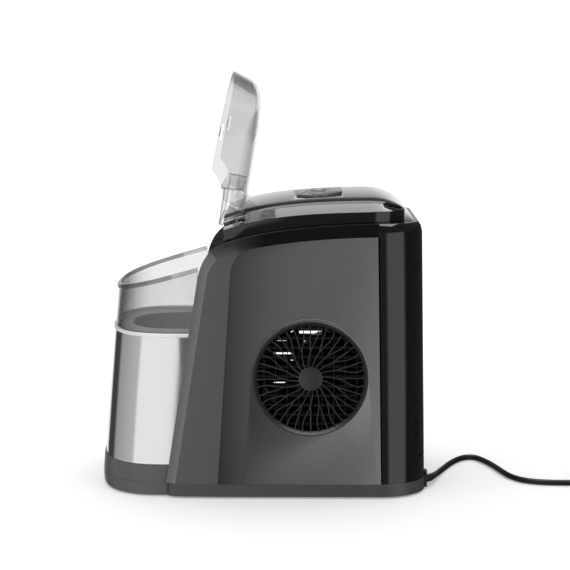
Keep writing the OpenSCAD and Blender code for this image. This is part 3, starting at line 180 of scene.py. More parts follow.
class Shade:
    """A node tree with the few patterns that the finishes use."""

    def __init__(self, tree: bpy.types.NodeTree) -> None:
        """Empties the tree and starts a surface with nothing set.

        Args:
            tree: a material's or the world's tree.
        """
        self.tree = tree
        self.tree.nodes.clear()
        self.surface: dict[str, Input] = {}

    @classmethod
    def material(cls, name: str, paint: Callable[["Shade"], None]) -> bpy.types.Material:
        """Makes a material from what a function puts on its surface.

        Args:
            name: the material's name.
            paint: fills in the surface.

        Returns:
            The material.
        """
        made = bpy.data.materials.new(name)
        made.use_nodes = True
        shade = cls(made.node_tree)
        paint(shade)
        surface = shade.node("ShaderNodeBsdfPrincipled", inputs=shade.surface)
        shade.node("ShaderNodeOutputMaterial", inputs={"Surface": surface})
        return made

    def node(
        self, kind: str, settings: Mapping[str, object] | None = None,
        inputs: Mapping[Key, Input] | None = None, output: Key = 0,
    ) -> Value:
        """Makes one node.

        Args:
            kind: the node's type.
            settings: its own settings, set before its sockets; "stops" are a ramp's grey stops.
            inputs: what each socket is set or linked to.
            output: which output is wanted.

        Returns:
            That output.
        """
        made = self.tree.nodes.new(kind)
        for key, value in (settings or {}).items():
            if key == "stops":
                self._stops(made.color_ramp, value)
            else:
                setattr(made, key, value)
        for key, value in (inputs or {}).items():
            self._feed(made.inputs[key], value)
        return Value(self, made.outputs[output] if made.outputs else None)

    def _stops(self, ramp: bpy.types.ColorRamp, stops: Iterable[tuple[float, float]]) -> None:
        """Sets a ramp's stops, each a place and a grey level."""
        for i, (place, level) in enumerate(stops):
            stop = ramp.elements[i] if i < 2 else ramp.elements.new(place)
            stop.position = place
            stop.color = (level, level, level, 1.0)

    def _feed(self, target: bpy.types.NodeSocket, source: Input) -> None:
        """Links or sets one socket."""
        if isinstance(source, Value):
            self.tree.links.new(source.socket, target)
        elif isinstance(source, tuple) and target.type == "RGBA":
            target.default_value = (*source, 1.0)
        else:
            target.default_value = source

    def place(self, stretch: Point = (1, 1, 1)) -> Value:
        """Object coordinates, with each axis scaled."""
        here = self.node("ShaderNodeTexCoord", output="Object")
        return self.node("ShaderNodeMapping", inputs={"Vector": here, "Scale": stretch})

    def axis(self, index: int) -> Value:
        """One object coordinate, in metres."""
        return self.node("ShaderNodeSeparateXYZ", inputs={0: self.place()}, output=index)

    def noise(self, scale: float, detail: float = 3.0, stretch: Point = (1, 1, 1)) -> Value:
        """Smooth noise.

        Args:
            scale: features per metre.
            detail: number of finer octaves.
            stretch: scale of each axis, for grain that runs one way.

        Returns:
            Noise around 0.5.
        """
        return self.node(
            "ShaderNodeTexNoise",
            inputs={"Vector": self.place(stretch), "Scale": scale, "Detail": detail},
        )

    def cells(self, scale: float) -> Value:
        """Random value per cell, for flakes."""
        colour = self.node(
            "ShaderNodeTexVoronoi", inputs={"Vector": self.place(), "Scale": scale}, output="Color"
        )
        return self.node("ShaderNodeSeparateColor", inputs={0: colour})

    def facing(self) -> Value:
        """0 where the surface faces the viewer, 1 where it turns away."""
        return self.node("ShaderNodeLayerWeight", inputs={"Blend": 0.5}, output="Facing")

    def bump(self, height: Value, strength: float, depth: float) -> None:
        """Raises the surface's normal by a height.

        Args:
            height: the pattern.
            strength: how much of it shows.
            depth: the height of the pattern, in metres.
        """
        self.surface["Normal"] = self.node(
            "ShaderNodeBump", inputs={"Strength": strength, "Distance": depth, "Height": height}
        )


# ---------------------------------------------------------------- finishes


def shaded(colour: Colour, factor: float) -> Colour:
    """A colour made lighter or darker."""
    return tuple(min(1.0, c * factor) for c in colour)


def grey(level: float) -> Colour:
    """An even grey."""
    return (level,) * 3


@dataclass(frozen=True)
class Finish:
    """A moulded surface: colour, gloss, and the grain and smudges that break it up."""

    name: str
    colour: Colour
    roughness: float
    metallic: float = 0.0
    coat: float = 0.0
    mottle: float = 0.06
    smudge: float = 0.06
    grain: float = 1800.0
    grain_depth: float = 0.00002
    specular: float = 0.5
    patch_scale: float = 14.0
    wear_scale: float = 55.0
    wear_span: tuple[float, float] = (0.35, 0.7)

    def build(self) -> bpy.types.Material:
        """Makes the material."""
        return Shade.material(self.name, self.paint)

    def paint(self, shade: Shade) -> None:
        """Puts the finish's patterns on the surface.

        Args:
            shade: the material's tree.
        """
        patch = shade.noise(self.patch_scale, detail=2.0)
        low, high = shaded(self.colour, 1 - self.mottle), shaded(self.colour, 1 + self.mottle)
        worn = shade.noise(self.wear_scale, detail=4.0).rising(*self.wear_span)
        shade.surface.update({
            "Base Color": patch.between(low, high),
            "Roughness": self.smudge * worn + self.roughness,
            "Metallic": self.metallic,
            "Coat Weight": self.coat,
            "Specular IOR Level": self.specular,
        })
        if self.grain_depth:
            shade.bump(shade.noise(self.grain, detail=2.0), 0.5, self.grain_depth)


@dataclass(frozen=True)
class Gloss(Finish):
    """A polished moulding: almost a mirror, with a faint waviness and fine dust in its gloss."""

    wave: float = 0.0003
    wave_scale: float = 24.0
    wave_shows: float = 0.25
    dust_scale: float = 900.0
    dust_span: tuple[float, float] = (0.62, 0.8)
    dust_tone: float = 1.6
    dust_rough: float = 0.05
    haze_scale: float = 30.0

    def paint(self, shade: Shade) -> None:
        """Puts the waviness and dust on the surface."""
        dust = shade.noise(self.dust_scale).rising(*self.dust_span)
        haze = shade.noise(self.haze_scale)
        shade.surface.update({
            "Base Color": dust.between(self.colour, shaded(self.colour, self.dust_tone)),
            "Roughness": self.smudge * haze + self.dust_rough * dust + self.roughness,
            "Specular IOR Level": self.specular,
            "Coat Weight": self.coat,
        })
        shade.bump(shade.noise(self.wave_scale, detail=1.0), self.wave_shows, self.wave)


@dataclass(frozen=True)
class Flake(Finish):
    """Metallic paint: tiny flakes under a thin lacquer."""

    density: float = 2600.0
    dark: float = 0.86
    light: float = 1.16
    flake_rough: float = 0.08
    haze_scale: float = 40.0
    lacquer_rough: float = 0.18
    # The lacquer's own fine unevenness.
    peel_scale: float = 700.0
    peel_shows: float = 0.15
    peel_depth: float = 0.00003

    def speckled(self, flakes: Value, colour: Colour) -> Value:
        """A colour that differs a little from flake to flake.

        Args:
            flakes: one random value for each flake.
            colour: the middle tone.

        Returns:
            The colour.
        """
        return flakes.between(shaded(colour, self.dark), shaded(colour, self.light))

    def paint(self, shade: Shade) -> None:
        """Puts the flakes on the surface."""
        flakes = shade.cells(self.density)
        haze = shade.noise(self.haze_scale)
        shade.surface.update({
            "Base Color": self.speckled(flakes, self.colour),
            "Roughness": self.flake_rough * flakes + self.smudge * haze + self.roughness,
            "Metallic": self.metallic,
            "Coat Weight": self.coat,
            "Coat Roughness": self.lacquer_rough,
        })
        shade.bump(shade.noise(self.peel_scale, detail=2.0), self.peel_shows, self.peel_depth)


@dataclass(frozen=True)
class ToneShiftAndSheen(Flake):
    """Metallic paint whose tone changes from the front of the machine to its rear; on the side panels the
    lighter rear is a painted sheen.
    """

    rear: Colour = (0.15, 0.15, 0.15)
    start: float = -0.046
    stop: float = 0.131
    above: float = -1.0
    rise: float = 0.013

    def paint(self, shade: Shade) -> None:
        """Blends the rear's tone in along the machine, above a given height."""
        super().paint(shade)
        # On the side panels this blend to a much lighter rear tone is painted sheen.
        drift = shade.axis(1).rising(self.start, self.stop)
        raised = shade.axis(2).rising(self.above, self.above + self.rise)
        far = self.speckled(shade.cells(self.density), self.rear)
        shade.surface["Base Color"] = (drift * raised).between(shade.surface["Base Color"], far)


@dataclass(frozen=True)
class Drawn(Finish):
    """Sheet metal with fine lines running one way."""

    run: Point = (1.0, 1.0, 0.02)
    dark: float = 0.95
    light: float = 1.03
    line_rough: float = 0.05
    line_shows: float = 0.12
    haze_scale: float = 9.0
    haze_run: Point = (1.0, 1.0, 0.35)

    def paint(self, shade: Shade) -> None:
        """Puts the drawn lines on the surface."""
        lines = shade.noise(self.grain, stretch=self.run)
        haze = shade.noise(self.haze_scale, detail=2.0, stretch=self.haze_run)
        shade.surface.update({
            "Base Color": lines.between(
                shaded(self.colour, self.dark), shaded(self.colour, self.light)
            ),
            "Roughness": self.line_rough * lines + self.smudge * haze + self.roughness,
            "Metallic": 1.0,
        })
        shade.bump(lines, self.line_shows, self.grain_depth)


@dataclass(frozen=True)
class Smoke(Finish):
    """Thin tinted clear plastic: see-through face on, darker where it turns away."""

    clear: float = 0.12
    edge: float = 0.9
    turn: float = 2.2
    edge_tone: float = 0.5
    haze_scale: float = 60.0
    haze_span: tuple[float, float] = (0.4, 0.8)
    haze_rough: float = 0.04
    haze_veil: float = 0.02

    def paint(self, shade: Shade) -> None:
        """Ties the tint to how the surface faces the viewer."""
        turned = shade.facing() ** self.turn
        haze = shade.noise(self.haze_scale).rising(*self.haze_span)
        shade.surface.update({
            "Base Color": turned.between(self.colour, shaded(self.colour, self.edge_tone)),
            "Roughness": self.haze_rough * haze + self.roughness,
            "Alpha": (
                (self.edge - self.clear) * turned + self.haze_veil * haze + self.clear
            ).clamped(),
            "Specular IOR Level": self.specular,
            "Coat Weight": self.coat,
        })


@dataclass(frozen=True)
class Lamp(Finish):
    """A lens that glows a little."""

    glow: Colour = (0.3, 1.0, 0.4)
    power: float = 0.6
    dim: float = 0.8
    dim_scale: float = 300.0

    def paint(self, shade: Shade) -> None:
        """Adds a soft glow to the lens."""
        super().paint(shade)
        shade.surface["Emission Color"] = shade.noise(self.dim_scale).between(
            self.glow, shaded(self.glow, self.dim)
        )
        shade.surface["Emission Strength"] = self.power


class Look(Enum):
    """Every finish on the machine."""

    BLACK_GLOSS = Gloss("black_gloss", (0.006, 0.006, 0.0065), 0.03, coat=0.25, smudge=0.03)
    # The side panels' paint grows much lighter towards the rear: a painted sheen in place of a soft light
    # near the rear.
    SIDE_PAINT = ToneShiftAndSheen(
        "side_paint", (0.022, 0.022, 0.023), 0.3, metallic=0.8, coat=0.15, rear=(0.27, 0.27, 0.275)
    )
    # A darker copy of the frames' paint for their flanks, painted shade; like the pillar copy it turns near
    # black towards the rear above 262 mm.
    FLANK_PAINTED_SHADE = ToneShiftAndSheen(
        "flank_painted_shade", (0.095, 0.095, 0.097), 0.3, metallic=0.8, coat=0.2,
        rear=(0.006, 0.006, 0.006), start=-0.07, stop=0.005, above=0.262,
    )
    # The frames' paint as it shows on their chamfers and fronts; with the darker flank copy it paints light
    # and shade by which way a face looks.
    PILLAR_PAINT = ToneShiftAndSheen(
        "pillar_paint", (0.17, 0.17, 0.173), 0.28, metallic=0.8, coat=0.2,
        rear=(0.006, 0.006, 0.006), start=-0.07, stop=0.005, above=0.262,
    )
    BASE_GREY = Finish("base_grey", (0.05, 0.05, 0.0515), 0.36, smudge=0.08)
    PLINTH_GREY = Finish("plinth_grey", (0.085, 0.085, 0.087), 0.3, smudge=0.08)
    STEEL = Drawn("polished_steel", (0.8, 0.8, 0.81), 0.09, smudge=0.04, grain=900.0, grain_depth=0.000006)
    TRIM = Finish("bright_trim", (0.86, 0.86, 0.86), 0.28, metallic=0.25, mottle=0.02, grain_depth=0.0)
    SMOKE = Smoke("smoked_clear", (0.1, 0.1, 0.102), 0.04, clear=0.13, edge=0.68)
    SMOKE_DARK = Smoke("smoked_partition", (0.1, 0.1, 0.102), 0.06, clear=0.1, edge=0.2)
    SMOKE_EDGE = Smoke("smoked_edge", (0.04, 0.04, 0.041), 0.08, clear=0.5, edge=0.9)
    WINDOW = Smoke("window_clear", (0.12, 0.12, 0.122), 0.04, clear=0.14)
    TUB = Finish("tub_grey", (0.26, 0.26, 0.265), 0.45)
    BASKET = Finish("basket_grey", (0.4, 0.4, 0.405), 0.4)
    FOAM = Finish("insulating_foam", (0.75, 0.72, 0.6), 0.9, grain=500.0, grain_depth=0.0004)
    BLACK_MATT = Finish("black_moulding", (0.01, 0.01, 0.01), 0.42)
    GRILLE = Finish("grille_black", (0.018, 0.018, 0.0185), 0.34, smudge=0.08)
    POD = Finish("panel_grey", (0.11, 0.11, 0.113), 0.22, coat=0.3, grain_depth=0.00001)
    KEY = Finish("key_grey", (0.2, 0.2, 0.205), 0.3, grain_depth=0.00001)
    MARK = Finish("mark_white", (0.7, 0.7, 0.7), 0.5)
    LENS = Lamp("lamp_lens", (0.3, 0.32, 0.31), 0.15, glow=(0.8, 0.9, 0.85), power=0.05)
    BOARD = Finish("circuit_board", (0.01, 0.09, 0.04), 0.35)
    COPPER = Finish("copper_tube", (0.75, 0.36, 0.2), 0.28, metallic=1.0, mottle=0.15, smudge=0.2)
    # Near-black condenser tubes and fins are painted shade inside the machine; the lighter bends are a copy
    # of the tubes' metal with painted glints.
    CONDENSER = Finish("condenser_tube", (0.035, 0.035, 0.035), 0.35, metallic=1.0, smudge=0.2)
    BEND = Finish("condenser_bend", (0.13, 0.13, 0.13), 0.36, metallic=1.0, smudge=0.2)
    FIN = Finish("condenser_fin", (0.02, 0.02, 0.02), 0.5, metallic=0.4, smudge=0.2)
    NICKEL = Finish("nickel_plate", (0.72, 0.73, 0.74), 0.22, metallic=1.0, smudge=0.15)
    WHITE = Finish("white_moulding", (0.7, 0.7, 0.67), 0.4)
    LINER = Finish("liner_grey", (0.35, 0.35, 0.35), 0.45)
    MOTOR = Finish("motor_shell", (0.25, 0.25, 0.255), 0.35, metallic=1.0, smudge=0.2)
    ENAMEL = Finish("compressor_enamel", (0.012, 0.012, 0.012), 0.25, coat=0.3, mottle=0.2)
    ZINC = Finish("zinc_screw", (0.55, 0.55, 0.56), 0.3, metallic=1.0, smudge=0.2)
    RUBBER = Finish("black_rubber", (0.012, 0.012, 0.012), 0.5, smudge=0.12, grain=1200.0)
    LEAD = Finish(
        "lead_rubber", (0.007, 0.007, 0.007), 0.36,
        smudge=0.1, grain=1500.0, grain_depth=0.00003, specular=0.3,
    )
    HOSE = Finish("silicone_hose", (0.55, 0.58, 0.58), 0.35)
    BRASS = Finish("plug_pin", (0.75, 0.62, 0.34), 0.25, metallic=1.0, smudge=0.15)


class Palette:
    """Builds each finish once and hands out its material."""

    def __init__(self) -> None:
        """Starts with nothing built."""
        self.made: dict[Look, bpy.types.Material] = {}

    def material(self, look: Look) -> bpy.types.Material:
        """The material of a finish.

        Args:
            look: which finish.

        Returns:
            Its material, built on first use.
        """
        if look not in self.made:
            self.made[look] = look.value.build()
        return self.made[look]

    def dress(self, piece: bpy.types.Object, look: Look) -> None:
        """Gives a piece one finish all over.

        Args:
            piece: a mesh or curve object.
            look: the finish.
        """
        piece.data.materials.clear()
        piece.data.materials.append(self.material(look))


# ---------------------------------------------------------------- modelling helpers


def pick(piece: bpy.types.Object) -> None:
    """Makes one object the only selected and active one."""
    bpy.ops.object.select_all(action="DESELECT")
    piece.select_set(True)
    bpy.context.view_layer.objects.active = piece


def modifier(piece: bpy.types.Object, kind: str, **values: object) -> None:
    """Adds a modifier and applies it.

    Args:
        piece: the object.
        kind: the modifier's type.
        values: its settings.
    """
    pick(piece)
    made = piece.modifiers.new(kind.lower(), kind)
    for key, value in values.items():
        setattr(made, key, value)
    bpy.ops.object.modifier_apply(modifier=made.name)


def smooth(piece: bpy.types.Object, degrees: float = 32.0) -> None:
    """Shades smoothly across edges flatter than an angle."""
    pick(piece)
    bpy.ops.object.shade_smooth_by_angle(angle=math.radians(degrees))


def settle(piece: bpy.types.Object, name: str) -> bpy.types.Object:
    """Names a piece and applies its place, so that it stands at the origin unscaled.

    Args:
        piece: the object.
        name: its new name.

    Returns:
        The same object.
    """
    piece.name = name
    pick(piece)
    bpy.ops.object.transform_apply(location=True, rotation=True, scale=True)
    return piece


def select_faces(piece: bpy.types.Object, wanted: Callable[[bmesh.types.BMFace], bool]) -> None:
    """In edit mode, selects exactly the faces that pass a test.

    Args:
        piece: the object being edited.
        wanted: says whether a face is chosen.
    """
    bpy.ops.mesh.select_mode(type="FACE")
    bpy.ops.mesh.select_all(action="DESELECT")
    shape = bmesh.from_edit_mesh(piece.data)
    for face in shape.faces:
        face.select = wanted(face)
    bmesh.update_edit_mesh(piece.data)


@dataclass
class Skin:
    """A copy of a solid with its sharp edges rounded, shown in its place."""

    node: str
    body: str
    look: Look
    slot: str
    round_mm: float = 0.5
    segments: int = 3
    sharp: float = 32.0
    edge: Look | None = None
    edge_mm: float = 2.6
    # A second finish for faces that look straight to one side; the frames use a darker copy of their paint
    # there, a painted shade.
    flank: Look | None = None
    flank_from: float = 0.95
    weld_mm: float = 0.01
    flat: float = 0.4

    def build(self, frame: dict, palette: Palette) -> bpy.types.Object:
        """Copies the solid, merges its flat faces and rounds its edges.

        Args:
            palette: the finishes.

        Returns:
            The piece.
        """
        source = frame["nodes"][self.node]
        pick(source)
        bpy.ops.object.duplicate()
        piece = bpy.context.view_layer.objects.active
        piece.parent = None
        for key in [k for k in piece.keys() if k.startswith("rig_")]:
            del piece[key]
        piece.name = f"{self.node}_skin"
        piece.data.name = piece.name
        bpy.ops.object.mode_set(mode="EDIT")
        bpy.ops.mesh.select_all(action="SELECT")
        bpy.ops.mesh.remove_doubles(threshold=self.weld_mm * MM)
        bpy.ops.mesh.dissolve_limited(angle_limit=math.radians(self.flat))
        bpy.ops.object.mode_set(mode="OBJECT")
        if self.round_mm:
            modifier(
                piece, "BEVEL", width=self.round_mm * MM, segments=self.segments,
                limit_method="ANGLE", angle_limit=math.radians(self.sharp),
                use_clamp_overlap=True, harden_normals=False,
            )
        smooth(piece, self.sharp)
        palette.dress(piece, self.look)
        for look, wanted in ((self.edge, self.narrow), (self.flank, self.sideways)):
            if look:
                piece.data.materials.append(palette.material(look))
                for face in piece.data.polygons:
                    if wanted(face):
                        face.material_index = len(piece.data.materials) - 1
        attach(piece, self.body)
        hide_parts(self.node)
        return piece

    def narrow(self, face: bpy.types.MeshPolygon) -> bool:
        """Whether a face is one of the thin strips along a sheet's edge.

        Args:
            face: one of the piece's faces.

        Returns:
            True on a strip thinner than edge_mm.
        """
        points = [face.id_data.vertices[i].co for i in face.vertices]
        round_length = sum((b - a).length for a, b in zip(points, points[1:] + points[:1]))
        return face.area / (round_length / 2) < self.edge_mm * MM

    def sideways(self, face: bpy.types.MeshPolygon) -> bool:
        """Whether a face looks almost straight to one side.

        Args:
            face: one of the piece's faces.

        Returns:
            True on the flanks.
        """
        return abs(face.normal.x) > self.flank_from


# ---------------------------------------------------------------- mains lead


def eased(points: Sequence[Vector], steps: int) -> list[Vector]:
    """A smooth line through points, which repeats its ends.

    Args:
        points: what the line passes through.
        steps: how many pieces each stretch is cut into.

    Returns:
        The line's points.
    """
    last = len(points) - 1
    line: list[Vector] = []
    for i in range(last):
        a, b = points[max(i - 1, 0)], points[i]
        c, d = points[i + 1], points[min(i + 2, last)]
        for k in range(steps):
            t = k / steps
            line.append(0.5 * (
                2 * b + (c - a) * t + (2 * a - 5 * b + 4 * c - d) * t * t
                + (3 * b - a - 3 * c + d) * t ** 3
            ))
    return line + [points[last]]


@dataclass
class MainsLead:
    """The mains lead: free stretch on the table, a tied coil, and the plug beside it."""

    diameter: float = 6.6
    coil_x: float = 13.5
    coil_y: float = 402.0
    coil_z: float = 4.0
    out_r: float = 44.0
    in_r: float = 26.5
    end_r: float = 41.0
    lower_turns: float = 2.65
    climb_turns: float = 0.15
    upper_turns: float = 2.2
    turn_points: int = 24
    line_steps: int = 3
    # Past the coil's middle along Y: where the lead leaves the upper layer and where it has climbed,
    # with its lift over that layer at the first and its dip under the plug's axis at the second.
    leave_from: float = 9.0
    leave_to: float = 18.0
    leave_lift: float = 0.8
    leave_dip: float = 0.4
    plug_z: float = 13.0
    plug_gap: float = 26.0
    plug_inset: float = 4.0
    # The band over the coil: its width along Y, how much wider and taller than the turns, its lift.
    tie_wide: float = 5.0
    tie_slack: tuple[float, float] = (0.6, 0.5)
    tie_lift: float = 0.1
    tie_thick: float = 0.4
    tie_round: float = 1.5
    # The ribs on the plug's neck: how many, the first one's radius and how much the last one adds,
    # how thick they are, where they start and how far apart they are.
    ribs: int = 5
    rib_r: float = 4.4
    rib_grow: float = 1.4
    rib_thick: float = 0.8
    rib_from: float = 4.0
    rib_gap: float = 3.4
    route: tuple[Point, ...] = (
        (39.1, 192.8, 7), (28.6, 195.8, 5.9), (18.1, 198.7, 5), (5.7, 202.4, 4.2),
        (-6.6, 206.2, 3.6), (-18.8, 210.5, 3.4), (-30.9, 215.1, 3.4), (-42.7, 220.3, 3.4),
        (-54.2, 226.4, 3.4), (-59.2, 229.6, 3.4), (-63.8, 233.4, 3.4), (-67.4, 238.2, 3.4),
        (-68.5, 243.9, 3.4), (-65.7, 249.1, 3.4), (-60.9, 252.6, 3.4), (-55.6, 255.3, 3.4),
        (-43.5, 260, 3.4), (-31.2, 264, 3.4), (-18.7, 267.3, 3.4), (-6.1, 270.3, 3.4),
        (6.5, 273.3, 3.4), (19, 276.7, 3.4), (31.1, 281.3, 3.4), (42.1, 288, 3.4),
        (50.5, 297.7, 3.4), (55.5, 309.6, 3.4), (57.8, 322.3, 3.4), (58.5, 335.2, 3.4),
        (58.3, 348.2, 3.4), (57.8, 361.1, 3.4), (57.5, 374.1, 3.4), (57.5, 387, 3.4),
    )
    line: list[Vector] = field(default_factory=list)

    def coil(self) -> list[Vector]:
        """The coil's centre line, from where the lead enters it to where it leaves for the plug."""
        total = self.lower_turns + self.climb_turns + self.upper_turns
        steps = int(total * self.turn_points)
        points = []
        for i in range(steps + 1):
            turn = total * i / steps
            if turn < self.lower_turns:
                share = turn / self.lower_turns
                r, z = self.out_r + (self.in_r - self.out_r) * share, self.coil_z
            elif turn < self.lower_turns + self.climb_turns:
                share = (turn - self.lower_turns) / self.climb_turns
                rise = share * share * (3 - 2 * share)
                r, z = self.in_r, self.coil_z + self.diameter * rise
            else:
                share = (turn - self.lower_turns - self.climb_turns) / self.upper_turns
                r, z = self.in_r + (self.end_r - self.in_r) * share, self.coil_z + self.diameter
            angle = 2 * math.pi * turn
            points.append(Vector((self.coil_x + r * math.cos(angle), self.coil_y + r * math.sin(angle), z)))
        return points

    def build(self, frame: dict, palette: Palette) -> None:
        """Lays the lead, its tie and its plug.

        Args:
            palette: the finishes.
        """
        end_x = self.coil_x + self.end_r
        upper = self.coil_z + self.diameter
        leave = [
            Vector((end_x, self.coil_y + self.leave_from, upper + self.leave_lift)),
            Vector((end_x, self.coil_y + self.leave_to, self.plug_z - self.leave_dip)),
            Vector((end_x, self.coil_y + self.plug_gap + self.plug_inset, self.plug_z)),
        ]
        points = [Vector(p) for p in self.route] + self.coil() + leave
        self.line = [p * MM for p in eased(points, self.line_steps)]
        curve = bpy.data.curves.new("mains_lead", "CURVE")
        curve.dimensions = "3D"
        curve.bevel_depth = self.diameter / 2 * MM
        curve.bevel_resolution = 5
        curve.use_fill_caps = True
        spline = curve.splines.new("POLY")
        spline.points.add(len(self.line) - 1)
        for point, at in zip(spline.points, self.line):
            point.co = (*at, 1.0)
        spline.use_smooth = True
        lead = bpy.data.objects.new("mains_lead", curve)
        bpy.context.scene.collection.objects.link(lead)
        palette.dress(lead, Look.LEAD)
        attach(lead, "housing")
        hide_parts("power_cord", "cord_coil")
        tie = self.tie(palette)
        plug = Skin("plug_body", "housing", Look.RUBBER, "black_rubber", 1.2).build(frame, palette)
        gland = Skin("cord_gland", "housing", Look.RUBBER, "black_rubber", 0.4).build(frame, palette)
        grip = self.grip(palette)
        length = sum((b - a).length for a, b in zip(self.line, self.line[1:]))
        log.info("mains lead %.3f m", length)

    def tie(self, palette: Palette) -> bpy.types.Object:
        """A flat band round the coil's turns, opposite the plug.

        Args:
            palette: the finishes.

        Returns:
            The band.
        """
        inner, outer = self.in_r - self.diameter / 2, self.out_r + self.diameter / 2
        top = self.coil_z + 1.5 * self.diameter
        low = self.coil_z - self.diameter / 2
        bpy.ops.mesh.primitive_cube_add(size=1.0)
        band = bpy.context.view_layer.objects.active
        wider, taller = self.tie_slack
        band.scale = ((outer - inner + wider) * MM, self.tie_wide * MM, (top - low + taller) * MM)
        band.location = (
            (self.coil_x - (inner + outer) / 2) * MM,
            self.coil_y * MM,
            (top + low) / 2 * MM + self.tie_lift * MM,
        )
        settle(band, "lead_tie")
        bpy.ops.object.mode_set(mode="EDIT")
        select_faces(band, lambda face: abs(face.normal.y) > SQUARE_ON)
        bpy.ops.mesh.delete(type="FACE")
        bpy.ops.object.mode_set(mode="OBJECT")
        modifier(band, "SOLIDIFY", thickness=self.tie_thick * MM, offset=0.0)
        modifier(
            band, "BEVEL", width=self.tie_round * MM, segments=3, limit_method="ANGLE", angle_limit=1.0
        )
        smooth(band)
        palette.dress(band, Look.RUBBER)
        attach(band, "housing")
        return band

    def grip(self, palette: Palette) -> bpy.types.Object:
        """Raised ribs on the plug's neck.

        Args:
            palette: the finishes.

        Returns:
            The ribs, as one piece.
        """
        low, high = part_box("plug_body")
        middle_x = (low.x + high.x) / 2
        rings = []
        for i in range(self.ribs):
            share = i / (self.ribs - 1)
            bpy.ops.mesh.primitive_torus_add(
                major_radius=(self.rib_r + self.rib_grow * share) * MM,
                minor_radius=self.rib_thick * MM, major_segments=36, minor_segments=10,
                location=(middle_x, low.y + (self.rib_from + self.rib_gap * i) * MM, self.plug_z * MM),
                rotation=(math.pi / 2, 0, 0),
            )
            rings.append(bpy.context.view_layer.objects.active)
        for ring in rings:
            ring.select_set(True)
        bpy.ops.object.join()
        ribs = settle(bpy.context.view_layer.objects.active, "plug_ribs")
        smooth(ribs, RING_SMOOTH)
        palette.dress(ribs, Look.RUBBER)
        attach(ribs, "housing")
        return ribs


# ---------------------------------------------------------------- control panel


@dataclass
class ControlPanel:
    """The oval panel's thin rim, and a plain on mark and a plain cube mark on its keys.

    The rim is a ring of radius 1 with a thin section, scaled to the panel and flattened.
    """

    tilt: float = 4.4
    rim_section: float = 0.012
    rim_flat: float = 0.042
    rim_drop: float = 1.9
    mark_tall: float = 0.6
    # The on mark: its ring's radius and line, where the ring is cut open, and its bar.
    ring_r: float = 3.2
    ring_line: float = 0.35
    ring_open: float = 2.4
    bar: tuple[float, float] = (0.7, 3.2)
    bar_y: float = 2.6
    # The cube mark: the square's side and the width of its line.
    cube: float = 5.2
    cube_line: float = 0.6

    def placed(self, piece: bpy.types.Object, name: str, at: Vector) -> bpy.types.Object:
        """Tilts a piece drawn round the origin into the panel's plane.

        Args:
            piece: the object, drawn flat.
            name: its name.
            at: where its origin goes, in metres.

        Returns:
            The piece.
        """
        settle(piece, name)
        piece.matrix_world = Matrix.Translation(at) @ Matrix.Rotation(math.radians(self.tilt), 4, "X")
        return settle(piece, name)

    def top_of(self, node: str) -> Vector:
        """The middle of a key's or panel's top face."""
        low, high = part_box(node)
        lean = math.radians(self.tilt)
        middle = (low + high) / 2
        half = (high.y - low.y) / 2
        return Vector((middle.x, middle.y, high.z - half * math.sin(lean)))

    def build(self, palette: Palette) -> None:
        """Makes the rim and the two marks."""
        low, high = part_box("control_pod")
        middle = (low + high) / 2
        half_x, half_y = (high.x - low.x) / 2, (high.y - low.y) / 2
        bpy.ops.mesh.primitive_torus_add(
            major_radius=1.0, minor_radius=self.rim_section, major_segments=96, minor_segments=10
        )
        rim = bpy.context.view_layer.objects.active
        rim.scale = (half_x, half_y, self.rim_flat)
        rim = self.placed(
            rim, "panel_rim", Vector((middle.x, middle.y, middle.z - self.rim_drop * MM))
        )
        smooth(rim, RING_SMOOTH)
        palette.dress(rim, Look.POD)
        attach(rim, "housing")
        self.on_mark(palette)
        self.cube_mark(palette)

    def on_mark(self, palette: Palette) -> None:
        """An open ring with a bar, on the left key."""
        at = self.top_of("power_button")
        bpy.ops.mesh.primitive_torus_add(
            major_radius=self.ring_r * MM, minor_radius=self.ring_line * MM,
            major_segments=48, minor_segments=8,
        )
        ring = bpy.context.view_layer.objects.active
        bpy.ops.object.mode_set(mode="EDIT")
        select_faces(ring, lambda f: f.calc_center_median().y > self.ring_open * MM)
        bpy.ops.mesh.delete(type="FACE")
        bpy.ops.object.mode_set(mode="OBJECT")
        bpy.ops.mesh.primitive_cube_add(size=1.0)
        bar = bpy.context.view_layer.objects.active
        bar.scale = (self.bar[0] * MM, self.bar[1] * MM, self.mark_tall * MM)
        bar.location = (0, self.bar_y * MM, 0)
        ring.select_set(True)
        bpy.context.view_layer.objects.active = ring
        bpy.ops.object.join()
        mark = self.placed(bpy.context.view_layer.objects.active, "on_mark", at)
        smooth(mark, RING_SMOOTH)
        palette.dress(mark, Look.MARK)
        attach(mark, "power_key")

    def cube_mark(self, palette: Palette) -> None:
        """A small open square, on the right key."""
        at = self.top_of("select_button")
        bpy.ops.mesh.primitive_cube_add(size=1.0)
        mark = bpy.context.view_layer.objects.active
        mark.scale = (self.cube * MM, self.cube * MM, self.mark_tall * MM)
        bpy.ops.object.transform_apply(location=False, rotation=False, scale=True)
        bpy.ops.object.mode_set(mode="EDIT")
        select_faces(mark, lambda f: abs(f.normal.z) > SQUARE_ON)
        bpy.ops.mesh.inset(thickness=self.cube_line * MM)
        bpy.ops.mesh.delete(type="FACE")
        bpy.ops.object.mode_set(mode="OBJECT")
        mark = self.placed(mark, "cube_mark", at)
        palette.dress(mark, Look.MARK)
        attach(mark, "select_key")


# ---------------------------------------------------------------- studio


class Shine(Enum):
    """What a soft light acts on."""

    GLOSS = "reflections only"
    FILL = "matt surfaces only"


